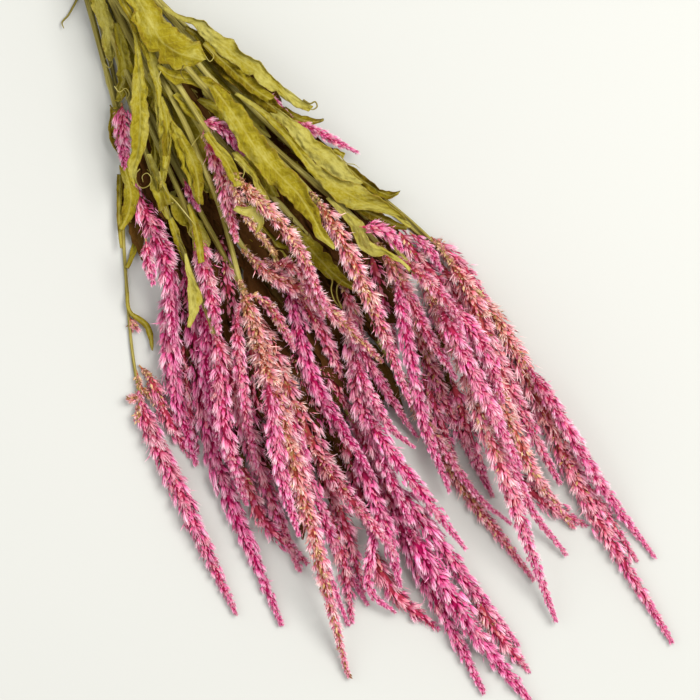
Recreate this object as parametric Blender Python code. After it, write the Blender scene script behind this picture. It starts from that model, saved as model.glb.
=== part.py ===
"""Plume celosia: a bunch of dried cut stems lying flat, held by a wound rubber band.

The bunch lies along +X, plumes at the +X end and cut stems at the -X end, +Z up.
The plan below is drawn in millimetres from the band, which is at X = 0, Y = 0.
Each stem is laid on the pile in turn, from the lowest to the uppermost, and rests on what is under it.
"""

import math
import random
from collections import namedtuple

import bmesh
import bpy
import numpy as np
from mathutils import Matrix, Vector

MM = 0.001

# Stems and band
STEM_RADIUS = 2.1
STEM_TIP_RADIUS = 1.5
STEM_SIDES = 5
STEM_SECTION = 24.0
PITCH = 4.75
BUNDLE_ROWS = (3, 4, 5, 4, 3)
BUTT_X = -98.0
BUTT_SPREAD = 14.0
BUTT_SPLAY = 1.3
BAND_HALF_STRAIGHT = 10.0
BAND_CORD = 2.2
BAND_TURNS = 3
BAND_CLEARANCE = 0.95

# Plumes
FLORETS_ROUND = 5
FLORET_STEP = 11.6
SOLID_SHARE = 1.0
VALLEY_SHARE = 0.52
FLORET_LEAN = 6.8
RACHIS_RADIUS = 1.3
PRESSED_FLAT = 1.5
JOINT_GAP = 0.3

# Leaves
LEAF_THICKNESS = 0.8
LEAF_SECTION = 10.0
LEAF_BEAD = 1.2
PETIOLE_HALF = 1.0

# The pile
BEAD_STEP = 3.0
CLEAR = 0.55
STEEPEST = 0.5
EASE = 15.0
JUNCTION_REACH = 26.0

Head = namedtuple("Head", "name half route base mid tip sides")
Leaf = namedtuple("Leaf", "stem leaves_at width base mid tip arch")
Sprig = namedtuple("Sprig", "name after half base mid tip")

# From the lowest head to the uppermost. half is a plume's half width. A side plume is (half, start, mid, tip).
HEADS = [
    Head("01", 8.1, [(118, -30)], (202, -52), (297, -94), (409, -117),
         [(7.5, (216, -71), (256, -94), (303, -109)), (5.8, (238, -60), (269, -78), (302, -92))]),
    Head("02", 8.1, [(163, -24)], (332, -18), (427, -30), (506, -38),
         [(6.4, (385, -16), (452, -11), (493, -6)), (7.0, (412, -24), (476, -23), (532, -17)),
          (6.0, (352, -26), (390, -34), (427, -46)), (4.1, (390, -40), (420, -62), (438, -57))]),
    Head("03", 7.5, [(165, 43)], (307, 84), (446, 73), (540, 71), [(5.2, (370, 86), (442, 85), (492, 89))]),
    Head("04", 7.0, [(102, -35), (177, -79)], (254, -116), (321, -127), (389, -136), []),
    Head("05", 7.5, [(141, -38)], (244, -58), (327, -79), (388, -91), [(6.4, (265, -68), (299, -84), (338, -96))]),
    Head("06", 6.4, [(164, 10)], (321, 20), (391, 16), (466, 22), [(2.9, (373, 18), (409, 21), (430, 28))]),
    Head("07", 7.5, [(157, 42)], (282, 80), (353, 70), (426, 65),
         [(7.0, (355, 64), (414, 55), (452, 58)), (4.6, (355, 60), (425, 43), (463, 46))]),
    Head("08", 7.5, [(89, -33)], (152, -53), (196, -61), (238, -82), []),
    Head("09", 8.1, [(123, -23)], (247, -33), (339, -45), (407, -38),
         [(5.2, (315, -49), (390, -66), (426, -68)), (4.6, (310, -52), (393, -76), (430, -84))]),
    Head("10", 6.4, [(124, -10)], (236, -6), (295, -24), (363, -25), [(5.2, (256, -5), (286, -6), (317, -12))]),
    Head("11", 7.5, [(124, 1)], (263, 19), (324, -8), (398, -21),
         [(4.1, (293, 10), (331, 8), (358, 9)), (4.1, (310, 1), (346, -1), (362, 4)),
          (5.2, (343, -9), (389, -6), (428, -2))]),
    Head("12", 7.0, [(134, 28)], (288, 60), (378, 45), (493, 20),
         [(6.4, (291, 62), (331, 69), (367, 62)), (6.0, (304, 60), (358, 54), (405, 50))]),
    Head("13", 6.4, [(102, -23)], (191, -37), (215, -45), (246, -56), []),
    Head("14", 7.5, [(116, -12), (167, -13)], (231, -31), (322, -56), (456, -100),
         [(4.6, (239, -38), (288, -65), (323, -79)), (4.1, (237, -28), (250, -23), (276, -24)),
          (5.8, (296, -52), (338, -70), (369, -79))]),
    Head("15", 6.4, [(126, -7)], (217, -17), (260, 2), (310, 15), [(5.2, (226, -11), (240, 3), (270, 0))]),
    Head("16", 7.0, [(152, 24)], (258, 50), (337, 36), (411, 28),
         [(4.6, (271, 50), (313, 46), (341, 46)), (5.2, (288, 42), (353, 17), (395, 8)),
          (4.6, (262, 53), (288, 63), (315, 66))]),
    Head("17", 6.4, [(74, -2)], (148, -2), (168, -5), (206, -19), [(4.1, (158, -1), (200, -6), (224, -4))]),
    Head("18", 5.2, [(96, 1)], (179, 2), (220, 9), (271, 4), []),
    Head("19", 6.4, [(117, 12)], (212, 33), (272, 29), (339, 16), []),
]

# Each leaf grows from a stem, at this distance along X from the band.
LEAVES = [
    Leaf("01", 95, 20, (108, -26), (140, -33), (172, -40), 0.25),
    Leaf("02", 148, 22, (162, -15), (200, -4), (240, 2), 0.25),
    Leaf("03", 118, 22, (132, 26), (170, 34), (210, 52), 0.25),
    Leaf("04", 123, 6, (134, -54), (152, -68), (174, -78), 0.5),
    Leaf("04", 196, 4, (207, -94), (219, -90), (236, -96), 0.4),
    Leaf("05", 88, 18, (100, -18), (128, -14), (158, -22), 0.3),
    Leaf("05", 150, 14, (163, -38), (187, -36), (213, -44), 0.3),
    Leaf("06", 75, 20, (88, 14), (125, 22), (165, 30), 0.3),
    Leaf("07", 134, 7, (144, 43), (164, 51), (173, 62), 0.4),
    Leaf("07", 182, 9, (193, 58), (215, 67), (233, 77), 0.4),
    Leaf("08", 32, 12, (42, -11), (58, -17), (78, -24), 0.3),
    Leaf("08", 86, 9, (99, -41), (115, -51), (149, -55), 0.4),
    Leaf("09", 60, 18, (72, -12), (105, -10), (142, -18), 0.3),
    Leaf("10", 95, 16, (108, -5), (142, -8), (178, -20), 0.3),
    Leaf("11", 110, 20, (124, 6), (160, 8), (202, 14), 0.3),
    Leaf("11", 203, 20, (213, 13), (247, 16), (269, 27), 0.3),
    Leaf("12", 70, 22, (84, 22), (125, 34), (165, 46), 0.3),
    Leaf("12", 150, 19, (162, 38), (195, 46), (228, 58), 0.3),
    Leaf("12", 203, 8, (211, 49), (236, 60), (252, 69), 0.5),
    Leaf("13", 175, 9, (199, -48), (219, -54), (234, -70), 0.4),
    Leaf("14", 94, 8, (109, -8), (122, -2), (139, 3), 0.5),
    Leaf("14", 97, 7, (109, -13), (141, -27), (163, -46), 0.5),
    Leaf("14", 116, 9, (128, -14), (154, -19), (185, -27), 0.5),
    Leaf("15", 56, 14, (67, 1), (88, 4), (107, 8), 0.3),
    Leaf("15", 180, 7, (189, -9), (195, -2), (209, -5), 0.4),
    Leaf("16", 44, 15, (66, 17), (116, 40), (166, 61), 0.3),
    Leaf("16", 120, 20, (132, 26), (186, 44), (252, 72), 0.4),
    Leaf("16", 203, 8, (212, 39), (245, 42), (275, 56), 0.5),
    Leaf("17", 60, 13, (69, -4), (110, -21), (149, -55), 0.3),
    Leaf("18", 84, 7, (96, -2), (115, 13), (134, 25), 0.5),
    Leaf("19", 40, 17, (50, 6), (79, 12), (111, 22), 0.3),
    Leaf("19", 106, 19, (118, 17), (169, 18), (237, 28), 0.4),
]

# Small plumes from the leaf axils, each laid after the head that it names.
SPRIGS = [
    Sprig("1", "07", 3.5, (133, 35), (147, 42), (161, 46)),
    Sprig("2", "07", 3.0, (157, 36), (166, 37), (178, 38)),
    Sprig("3", "07", 3.5, (167, 49), (184, 59), (199, 68)),
    Sprig("4", "07", 4.1, (258, 70), (269, 73), (283, 73)),
    Sprig("5", "08", 5.8, (104, -34), (118, -42), (134, -51)),
    Sprig("6", "08", 4.6, (179, -64), (190, -69), (201, -73)),
    Sprig("7", "09", 3.5, (161, -26), (168, -27), (178, -28)),
    Sprig("8", "16", 5.2, (239, 48), (247, 57), (262, 59)),
    Sprig("9", "17", 4.1, (138, 2), (146, 9), (166, 11)),
]


# --- Laying the pieces on the pile ---------------------------------------------------------------------------

def curve_through(points, step=BEAD_STEP):
    """Points at even steps on a smooth plan curve through the given ones."""
    points = np.array(points, float)
    control = np.vstack([2 * points[0] - points[1], points, 2 * points[-1] - points[-2]])
    fine = [points[:1]]
    for a, b, c, d in zip(control, control[1:], control[2:], control[3:]):
        before, here, after = (math.sqrt(np.linalg.norm(q - p)) for p, q in ((a, b), (b, c), (c, d)))
        leaving = (c - b) + here * ((b - a) / before - (c - a) / (before + here))
        arriving = (c - b) + here * ((d - c) / after - (d - b) / (here + after))
        t = np.linspace(0, 1, 61)[1:, None]
        fine.append((2 * t**3 - 3 * t**2 + 1) * b + (t**3 - 2 * t**2 + t) * leaving
                    + (3 * t**2 - 2 * t**3) * c + (t**3 - t**2) * arriving)
    fine = np.vstack(fine)
    along = np.concatenate([[0], np.cumsum(np.linalg.norm(np.diff(fine, axis=0), axis=1))])
    even = np.linspace(0, along[-1], max(4, round(along[-1] / step) + 1))
    return np.column_stack([np.interp(even, along, fine[:, i]) for i in range(2)]), even


def settle(along, need):
    """The smooth heights that stay on or above need and never climb faster than STEEPEST."""
    apart = np.abs(along[:, None] - along[None, :])
    sloped = (need[None, :] - STEEPEST * apart).max(1)
    widened = np.where(apart <= EASE, sloped[None, :], -1e9).max(1)
    near = (apart <= EASE).astype(float)
    return near @ widened / near.sum(1)


class Pile:
    """What lies there already, as beads: plan place, height and radius."""

    def __init__(self):
        self.beads = np.zeros((0, 4))

    def add(self, xy, z, radius):
        self.beads = np.vstack([self.beads, np.column_stack([xy, z, np.broadcast_to(radius, len(xy))])])

    def height(self, xy, radius, floor, apart_from=None):
        """The lowest place for a bead of this radius over each plan point."""
        beads = self.beads
        if apart_from is not None:
            place, reach = apart_from
            beads = beads[np.hypot(beads[:, 0] - place[0], beads[:, 1] - place[1]) > reach]
        radius = np.broadcast_to(radius, len(xy))
        away = ((xy[:, None, :] - beads[None, :, :2]) ** 2).sum(-1)
        touch = (radius[:, None] + beads[None, :, 3] + CLEAR) ** 2
        lifted = np.where(away < touch, beads[None, :, 2] + np.sqrt(np.clip(touch - away, 0, None)), -1e9)
        return np.maximum(floor, lifted.max(1, initial=-1e9))


Line = namedtuple("Line", "xy z along radius")


def plume_radius(along, half, bare=0.0):
    """A plume's radius: a quick swell past its bare stalk, an even middle and a long taper."""
    t = np.clip((along - bare) / (along[-1] - bare), 0, 1)
    swell = np.clip(0.35 + t / 0.1, 0, 1)
    taper = 1 - 0.78 * np.clip((t - 0.42) / 0.58, 0, 1) ** 1.5
    return np.where(along < bare, RACHIS_RADIUS, np.maximum(half * SOLID_SHARE * swell * taper, RACHIS_RADIUS))


def bundle_places():
    """Each stem's place across the band, from the lowest row up."""
    first = 0
    places = {}
    for count in BUNDLE_ROWS:
        row = sorted(HEADS[first:first + count], key=lambda head: head.base[1] / head.base[0])
        for i, head in enumerate(row):
            places[head.name] = PITCH * (i - (count - 1) / 2)
        first += count
    return places


def lay_head(pile, head, place, butt_x):
    """One stem with its plume and side plumes, as lines at their heights on the pile."""
    points = [(butt_x, BUTT_SPLAY * place), (-BAND_HALF_STRAIGHT, place), (0, place), (BAND_HALF_STRAIGHT, place)]
    xy, along = curve_through(points + head.route + [head.base, head.mid, head.tip])
    start = int(np.argmin(np.hypot(*(xy - head.base).T)))
    stem_radius = np.interp(along[:start + 1], [0, along[start]], [STEM_RADIUS, STEM_TIP_RADIUS])
    radius = np.concatenate([stem_radius[:-1], plume_radius(along[start:] - along[start], head.half)])
    floor = np.where(np.arange(len(xy)) < start, radius * 0.95, radius - PRESSED_FLAT * (radius > 3))
    over_band = np.abs(xy[:, 0]) < 8
    floor[over_band] = STEM_RADIUS + BAND_CORD + BAND_CLEARANCE
    need = pile.height(xy, radius, floor)
    sides = []
    for half, *side_points in head.sides:
        nearest = int(np.argmin(np.hypot(*(xy - side_points[0]).T)))
        root = max(start + 2, nearest - 7)
        side_xy, side_along = curve_through([xy[root]] + side_points)
        bare = np.interp(radius[root] + 4, np.hypot(*(side_xy - xy[root]).T), side_along)
        bare = min(float(bare), 0.3 * side_along[-1])
        side_radius = plume_radius(side_along, half, bare)
        side_floor = side_radius - PRESSED_FLAT * (side_radius > 3)
        side_need = pile.height(side_xy, side_radius, side_floor)
        need[root] = max(need[root], (side_need - STEEPEST * side_along).max())
        sides.append((root, side_xy, side_along, side_radius, side_need, bare))
    z = settle(along, need)
    own = Pile()
    own.add(xy[start:], z[start:], radius[start:])
    laid_sides = []
    for root, side_xy, side_along, side_radius, side_need, bare in sides:
        over_own = own.height(side_xy, side_radius, -1e9, (xy[root], JUNCTION_REACH))
        side_need = np.maximum(side_need, over_own)
        blend = np.clip(side_along / 24, 0, 1)
        blend = blend * blend * (3 - 2 * blend)
        side_z = z[root] + (settle(side_along, side_need) - z[root]) * blend
        side_z[1:] = np.maximum(side_z, side_need)[1:]
        own.add(side_xy, side_z, side_radius)
        laid_sides.append((Line(side_xy, side_z, side_along, side_radius), bare))
    for line, _ in laid_sides:
        pile.add(line.xy, line.z, line.radius)
    pile.add(xy, z, radius)
    stem = Line(xy[:start + 1], z[:start + 1], along[:start + 1], radius[:start + 1])
    plume = Line(xy[start:], z[start:], along[start:] - along[start], radius[start:])
    return stem, plume, laid_sides


def leaf_half(along, base_at, width):
    """A leaf's half width: a thin stalk, then a blade widest before its middle, with a pointed tip."""
    t = np.clip((along - base_at) / (along[-1] - base_at), 0, 1)
    blade = width / 2 * np.sin(math.pi * t**0.72) ** 0.85
    return np.maximum(blade, PETIOLE_HALF * np.clip(1.3 - t, 0.2, 1))


def lay_leaf(pile, leaf, stem):
    """One leaf from its stem: middle line, half widths and the drop of its edges, on the pile."""
    root = int(np.argmin(np.abs(stem.xy[:, 0] - leaf.leaves_at)))
    xy, along = curve_through([stem.xy[root], leaf.base, leaf.mid, leaf.tip], 2.5)
    base_at = float(along[np.argmin(np.hypot(*(xy - leaf.base).T))])
    half = leaf_half(along, base_at, leaf.width)
    forward = np.gradient(xy, axis=0)
    across = np.column_stack([-forward[:, 1], forward[:, 0]]) / np.linalg.norm(forward, axis=1)[:, None]
    drop = leaf.arch * half
    need = np.full(len(xy), LEAF_BEAD)
    for v in np.linspace(-1, 1, 9):
        edge = xy + across * (half * v)[:, None]
        under = pile.height(edge, LEAF_BEAD, LEAF_BEAD, (stem.xy[root], 9))
        need = np.maximum(need, under + drop * abs(v))
    blend = np.clip(along / 9, 0, 1)
    z = settle(along, need) * blend + stem.z[root] * (1 - blend)
    z[2:] = np.maximum(z, need)[2:]
    for v in np.linspace(-1, 1, 9):
        pile.add(xy + across * (half * v)[:, None], z - drop * abs(v), LEAF_BEAD)
    return Line(xy, z, along, half), across, drop


def lay_sprig(pile, sprig):
    xy, along = curve_through([sprig.base, sprig.mid, sprig.tip])
    radius = plume_radius(along, sprig.half)
    z = settle(along, pile.height(xy, radius, radius))
    pile.add(xy, z, radius)
    return Line(xy, z, along, radius)


def lay_bunch():
    """Every piece in its place, in the order of the pile."""
    pile = Pile()
    places = bundle_places()
    spread = random.Random(11)
    heads, leaves, sprigs = {}, {}, {}
    for head in HEADS:
        butt_x = BUTT_X + spread.uniform(-BUTT_SPREAD, BUTT_SPREAD)
        stem, plume, sides = lay_head(pile, head, places[head.name], butt_x)
        heads[head.name] = (stem, plume, sides)
        leaves[head.name] = [lay_leaf(pile, leaf, stem) for leaf in LEAVES if leaf.stem == head.name]
        for sprig in SPRIGS:
            if sprig.after == head.name:
                sprigs[sprig.name] = lay_sprig(pile, sprig)
    return heads, leaves, sprigs


# --- Solids --------------------------------------------------------------------------------------------------

def point_at(line, s):
    """Place, forward direction, sideways direction and upward direction at length s of a line."""
    def place(length):
        return Vector((np.interp(length, line.along, line.xy[:, 0]),
                       np.interp(length, line.along, line.xy[:, 1]), np.interp(length, line.along, line.z)))
    low, high = max(0.0, s - 2.0), min(float(line.along[-1]), s + 2.0)
    forward = (place(high) - place(low)).normalized()
    aside = forward.cross(Vector((0, 0, 1))).normalized()
    beyond = max(0.0, s - float(line.along[-1]))
    return place(s) + forward * beyond, forward, aside, aside.cross(forward)


def new_object(name, bm, colour, roughness):
    bmesh.ops.recalc_face_normals(bm, faces=bm.faces)
    mesh = bpy.data.meshes.new(name)
    bm.to_mesh(mesh)
    bm.free()
    material = bpy.data.materials.new(name + " finish")
    material.use_nodes = True
    shader = material.node_tree.nodes["Principled BSDF"]
    shader.inputs["Base Color"].default_value = (*colour, 1)
    shader.inputs["Roughness"].default_value = roughness
    shader.inputs["Metallic"].default_value = 0.0
    mesh.materials.append(material)
    obj = bpy.data.objects.new(name, mesh)
    bpy.context.scene.collection.objects.link(obj)
    return obj


def plume_mesh(line, bare, jitter):
    """A tube whose diamond cells are each raised to one floret, pointing outward and forward."""
    length = float(line.along[-1])
    first = [0.0, max(1.5, bare - 3)] if bare else [0.0]
    begin = first[-1]
    count = max(2, round((length - begin) / FLORET_STEP))
    step = (length - begin) / count
    rings = first + [begin + step * (i + 1) for i in range(count - 1)]
    bm = bmesh.new()
    turn = 2 * math.pi / FLORETS_ROUND

    def at(s, angle, radius):
        place, _, aside, up = point_at(line, s)
        return bm.verts.new((place + (up * math.cos(angle) + aside * math.sin(angle)) * radius) * MM)

    def outer(s):
        return float(np.interp(s, line.along, line.radius))

    loops = []
    for k, s in enumerate(rings):
        valley = outer(s) * (VALLEY_SHARE if s >= bare else 1.0)
        loops.append([at(s, (j + 0.5 * (k % 2)) * turn, valley) for j in range(FLORETS_ROUND)])
    for k, loop in enumerate(loops):
        odd = k % 2
        for j in range(FLORETS_ROUND):
            a, b = loop[j], loop[(j + 1) % FLORETS_ROUND]
            m = (j + odd) % FLORETS_ROUND
            behind = loops[k - 1][m] if k > 0 else None
            ahead = loops[k + 1][m] if k + 1 < len(loops) else None
            if behind is None or ahead is None or rings[k] < bare:
                for corner, order in ((behind, (b, a)), (ahead, (a, b))):
                    if corner is not None:
                        bm.faces.new((*order, corner))
                continue
            angle = (j + 0.5 + 0.5 * odd) * turn
            lean = min(FLORET_LEAN, 0.62 * step) * jitter.uniform(0.75, 1.0)
            radius = outer(rings[k]) * jitter.uniform(0.9, 1.0)
            peak = at(rings[k] + lean, angle, radius)
            for pair in ((a, behind), (behind, b), (b, ahead), (ahead, a)):
                bm.faces.new((*pair, peak))
    bm.faces.new(list(reversed(loops[0])))
    tip = at(length, 0, 0)
    for j in range(FLORETS_ROUND):
        bm.faces.new((loops[-1][j], loops[-1][(j + 1) % FLORETS_ROUND], tip))
    return bm


def united(name, parts, colour, roughness, solver="EXACT"):
    """One solid from overlapping ones, with any hollow that the union seals filled."""
    main = new_object(name, parts[0], colour, roughness)
    if len(parts) > 1:
        gathered = bpy.data.collections.new(name + " parts")
        for i, bm in enumerate(parts[1:]):
            piece = new_object(f"{name} part {i}", bm, colour, roughness)
            bpy.context.scene.collection.objects.unlink(piece)
            gathered.objects.link(piece)
        bpy.context.scene.collection.children.link(gathered)
        union = main.modifiers.new("union", "BOOLEAN")
        union.operation = "UNION"
        union.operand_type = "COLLECTION"
        union.collection = gathered
        union.solver = solver
        bake(main)
        for piece in list(gathered.objects):
            bpy.data.objects.remove(piece)
        bpy.data.collections.remove(gathered)
        keep_outer_body(main)
    return main


def bake(obj):
    """Puts a modifier's result into the mesh."""
    shaped = obj.evaluated_get(bpy.context.evaluated_depsgraph_get())
    mesh = bpy.data.meshes.new_from_object(shaped)
    obj.modifiers.clear()
    obj.data = mesh


def keep_outer_body(obj):
    """Drops what a union seals inside, and loose scraps."""
    bm = bmesh.new()
    bm.from_mesh(obj.data)
    unseen = set(bm.faces)
    bodies = []
    while unseen:
        body, front = set(), [unseen.pop()]
        while front:
            face = front.pop()
            body.add(face)
            for edge in face.edges:
                for other in edge.link_faces:
                    if other in unseen:
                        unseen.discard(other)
                        front.append(other)
        bodies.append(body)
    largest = max(bodies, key=len)
    bmesh.ops.delete(bm, geom=[face for face in bm.faces if face not in largest], context="FACES")
    bm.to_mesh(obj.data)
    bm.free()


def flatten_underside(obj):
    """Cuts off what is pressed flat against the surface at Z = 0."""
    if min((vertex.co.z for vertex in obj.data.vertices)) > 0:
        return
    bm = bmesh.new()
    bm.from_mesh(obj.data)
    everything = bm.verts[:] + bm.edges[:] + bm.faces[:]
    bmesh.ops.bisect_plane(bm, geom=everything, dist=1e-6, plane_co=(0, 0, 0), plane_no=(0, 0, -1),
                           clear_outer=True)
    bmesh.ops.holes_fill(bm, edges=[edge for edge in bm.edges if edge.is_boundary], sides=0)
    bmesh.ops.recalc_face_normals(bm, faces=bm.faces)
    bm.to_mesh(obj.data)
    bm.free()


def stem_mesh(line):
    """A round stem from its cut end to just short of its plume."""
    length = float(line.along[-1]) - JOINT_GAP
    count = max(3, round(length / STEM_SECTION))
    bm = bmesh.new()
    loops = []
    for i in range(count + 1):
        s = length * i / count
        place, _, aside, up = point_at(line, s)
        radius = float(np.interp(s, line.along, line.radius))
        loops.append([bm.verts.new((place + (up * -math.cos(angle) + aside * math.sin(angle)) * radius) * MM)
                      for angle in ((j + 0.5) * 2 * math.pi / STEM_SIDES for j in range(STEM_SIDES))])
    for one, two in zip(loops, loops[1:]):
        for j in range(STEM_SIDES):
            n = (j + 1) % STEM_SIDES
            bm.faces.new((one[j], one[n], two[n], two[j]))
    bm.faces.new(loops[0])
    bm.faces.new(loops[-1])
    return bm


def leaf_mesh(line, across, drop):
    """A thin blade, creased along its middle, whose edges hang lower; both faces are split alike."""
    length = float(line.along[-1])
    stations = [0.0, 3.0, 7.0]
    rest = max(3, round((length - 7) / LEAF_SECTION))
    stations += [7 + (length - 7) * (i + 1) / rest for i in range(rest)]
    bm = bmesh.new()
    rows = []
    for s in stations:
        x, y, z = (np.interp(s, line.along, values) for values in (line.xy[:, 0], line.xy[:, 1], line.z))
        side = Vector([np.interp(s, line.along, across[:, i]) for i in range(2)] + [0])
        half = float(np.interp(s, line.along, line.radius))
        fall = float(np.interp(s, line.along, drop))
        row = []
        for v in (-1, 0, 1):
            middle = Vector((x, y, z - fall * abs(v))) + side * (half * v)
            thick = LEAF_THICKNESS / 2 * (1.0 if v == 0 else 0.75)
            row.append([bm.verts.new((middle + Vector((0, 0, lift))) * MM) for lift in (-thick, thick)])
        rows.append(row)
    for one, two in zip(rows, rows[1:]):
        for v in (0, 1):
            for level in (0, 1):
                a, b, c, d = one[v][level], one[v + 1][level], two[v + 1][level], two[v][level]
                if v == 0:
                    bm.faces.new((a, b, c))
                    bm.faces.new((a, c, d))
                else:
                    bm.faces.new((a, b, d))
                    bm.faces.new((b, c, d))
        for v in (0, 2):
            bm.faces.new((one[v][0], two[v][0], two[v][1], one[v][1]))
    for row in (rows[0], rows[-1]):
        for v in (0, 1):
            bm.faces.new((row[v][0], row[v + 1][0], row[v + 1][1], row[v][1]))
    return bm


def band_outline(stems, reach, sides=32):
    """The outline across the bundle, this far outside the stems, as Y and Z points."""
    half = BAND_CORD * BAND_TURNS / 2
    circles = [(np.interp(x, stem.xy[:, 0], stem.xy[:, 1]), np.interp(x, stem.xy[:, 0], stem.z))
               for stem in stems for x in (-half, 0, half)]
    middle_y, middle_z = (sum(c[i] for c in circles) / len(circles) for i in range(2))
    outline = []
    turns = [2 * math.pi * i / 720 for i in range(720)]
    support = [(t, max((y - middle_y) * math.cos(t) + (z - middle_z) * math.sin(t) for y, z in circles)
                + STEM_RADIUS + reach) for t in turns]
    for i in range(sides):
        angle = 2 * math.pi * (i + 0.5) / sides
        away = min(far / math.cos(t - angle) for t, far in support if math.cos(t - angle) > 0.2)
        outline.append((middle_y + away * math.cos(angle), middle_z + away * math.sin(angle)))
    return outline


def band_mesh(stems):
    """Turns of a round rubber cord side by side, as one ring round the bundle."""
    inner = band_outline(stems, BAND_CLEARANCE)
    outer = band_outline(stems, BAND_CLEARANCE + BAND_CORD)
    width = BAND_CORD * BAND_TURNS
    profile = [(-width / 2 + 0.5, 0.0), (width / 2 - 0.5, 0.0), (width / 2, 0.5)]
    for turn in reversed(range(BAND_TURNS)):
        centre = -width / 2 + BAND_CORD * (turn + 0.5)
        profile += [(centre + 0.6, 1.0), (centre - 0.6, 1.0)]
        if turn:
            profile.append((centre - BAND_CORD / 2, 0.65))
    profile.append((-width / 2, 0.5))
    bm = bmesh.new()
    loops = []
    for (y0, z0), (y1, z1) in zip(inner, outer):
        loops.append([bm.verts.new((x * MM, (y0 + (y1 - y0) * out) * MM, max(0.0, z0 + (z1 - z0) * out) * MM))
                      for x, out in profile])
    for one, two in zip(loops, loops[1:] + loops[:1]):
        for j in range(len(profile)):
            n = (j + 1) % len(profile)
            bm.faces.new((one[j], one[n], two[n], two[j]))
    return bm


# --- The bunch -----------------------------------------------------------------------------------------------

PINK = (0.52, 0.13, 0.28)
OLIVE = (0.30, 0.27, 0.05)
RUBBER = (0.42, 0.26, 0.13)


def build():
    for obj in list(bpy.data.objects):
        bpy.data.objects.remove(obj)
    heads, leaves, sprigs = lay_bunch()
    jitter = random.Random(5)
    made = []
    for name, (stem, plume, sides) in heads.items():
        parts = [plume_mesh(plume, 0.0, jitter)] + [plume_mesh(line, bare, jitter) for line, bare in sides]
        made.append(united("head_" + name, parts, PINK, 0.85, "MANIFOLD"))
        parts = [stem_mesh(stem)] + [leaf_mesh(*leaf) for leaf in leaves[name]]
        made.append(united("leafy_stem_" + name, parts, OLIVE, 0.8))
    for name, line in sprigs.items():
        made.append(united("side_spike_" + name, [plume_mesh(line, 0.0, jitter)], PINK, 0.85))
    made.append(new_object("rubber_band", band_mesh([stem for stem, _, _ in heads.values()]), RUBBER, 0.6))
    for obj in made:
        flatten_underside(obj)
    corners = np.array([vertex.co[:] for obj in made for vertex in obj.data.vertices])
    middle = (corners.min(0) + corners.max(0)) / 2
    for obj in made:
        obj.data.transform(Matrix.Translation((-middle[0], -middle[1], 0)))


build()
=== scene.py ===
"""Plume celosia: the looks of a bunch of dried cut stems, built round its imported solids.

The plan is drawn in millimetres from the band, as in the part's own source, and each visible piece lies on
the same line as the solid that it stands for.
"""

import math
import random
from collections import namedtuple

import bpy
import numpy as np
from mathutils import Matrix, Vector


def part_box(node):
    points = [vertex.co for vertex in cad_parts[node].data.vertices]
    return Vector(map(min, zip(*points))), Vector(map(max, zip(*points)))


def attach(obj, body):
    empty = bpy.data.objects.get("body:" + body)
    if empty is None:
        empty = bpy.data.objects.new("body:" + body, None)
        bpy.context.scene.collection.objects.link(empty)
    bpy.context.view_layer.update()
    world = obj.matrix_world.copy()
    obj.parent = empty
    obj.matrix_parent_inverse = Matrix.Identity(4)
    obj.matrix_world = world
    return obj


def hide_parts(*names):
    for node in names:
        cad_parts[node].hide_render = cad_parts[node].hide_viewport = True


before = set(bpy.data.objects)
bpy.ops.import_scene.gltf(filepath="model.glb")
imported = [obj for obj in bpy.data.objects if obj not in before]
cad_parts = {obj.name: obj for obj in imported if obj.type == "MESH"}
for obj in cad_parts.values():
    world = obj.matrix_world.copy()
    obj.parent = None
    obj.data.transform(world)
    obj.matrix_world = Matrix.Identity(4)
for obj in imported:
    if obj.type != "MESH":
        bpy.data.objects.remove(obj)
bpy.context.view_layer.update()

MM = 0.001

# Stems and band
STEM_RADIUS = 2.1
STEM_TIP_RADIUS = 1.5
PITCH = 4.75
BUNDLE_ROWS = (3, 4, 5, 4, 3)
BUTT_X = -98.0
BUTT_SPREAD = 14.0
BUTT_SPLAY = 1.3
BAND_HALF_STRAIGHT = 10.0
BAND_CORD = 2.2
BAND_TURNS = 3
BAND_CLEARANCE = 0.95

# The pile
RACHIS_RADIUS = 1.3
PRESSED_FLAT = 1.5
LEAF_BEAD = 1.2
PETIOLE_HALF = 1.0
BEAD_STEP = 3.0
CLEAR = 0.55
STEEPEST = 0.5
EASE = 15.0
JUNCTION_REACH = 26.0
# A side plume leaves its stem so many beads before its first point, and climbs free over this length.
JUNCTION_BEADS = 7
JUNCTION_EASE = 24.0
LEAF_STEP = 2.5
LEAF_STRIPS = 9
AXIL_REACH = 9
# Points below this height are pressed softly onto the floor.
LOWEST = 0.15
SOFT_FLOOR = 0.35

# The core of a plume, painted dark as the shade deep inside it
CORE_STEP = 3.5
CORE_SIDES = 7
CORE_SHARE = 0.36
THINNEST_CORE = 0.7

# Clusters of florets: so many to a millimetre of a plume of the usual half width, along a spiral. A pair is
# for fresh and for old florets, apart from the least and greatest length of a tepal.
CLUSTERS = 0.46
FLORETS = 3
FLORET_GAP = 1.1
USUAL_HALF = 7.5
GOLDEN_ANGLE = 2.39996
LEAN_DEGREES = (23, 44)
OPEN_DEGREES = (11, 27)
SWAY = (0.8, 1.25)
TEPALS = 9
TEPALS_BELOW = 6
TEPAL_LENGTH = 1.32
TEPAL_LIMITS = (3.0, 9.8)
TEPAL_SLIMNESS = (0.062, 0.072)
TEPAL_BEND = (-0.3, 0.2)
TEPAL_KEEL = 0.4

# Leaves: the rows of points, half the thickness at the stalk and in the blade, and the side veins
LEAF_ROW = 1.7
HALF_THICK = (0.5, 0.2)
VEIN_STEP = 5.5
VEIN_SLANT = 0.75
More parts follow.
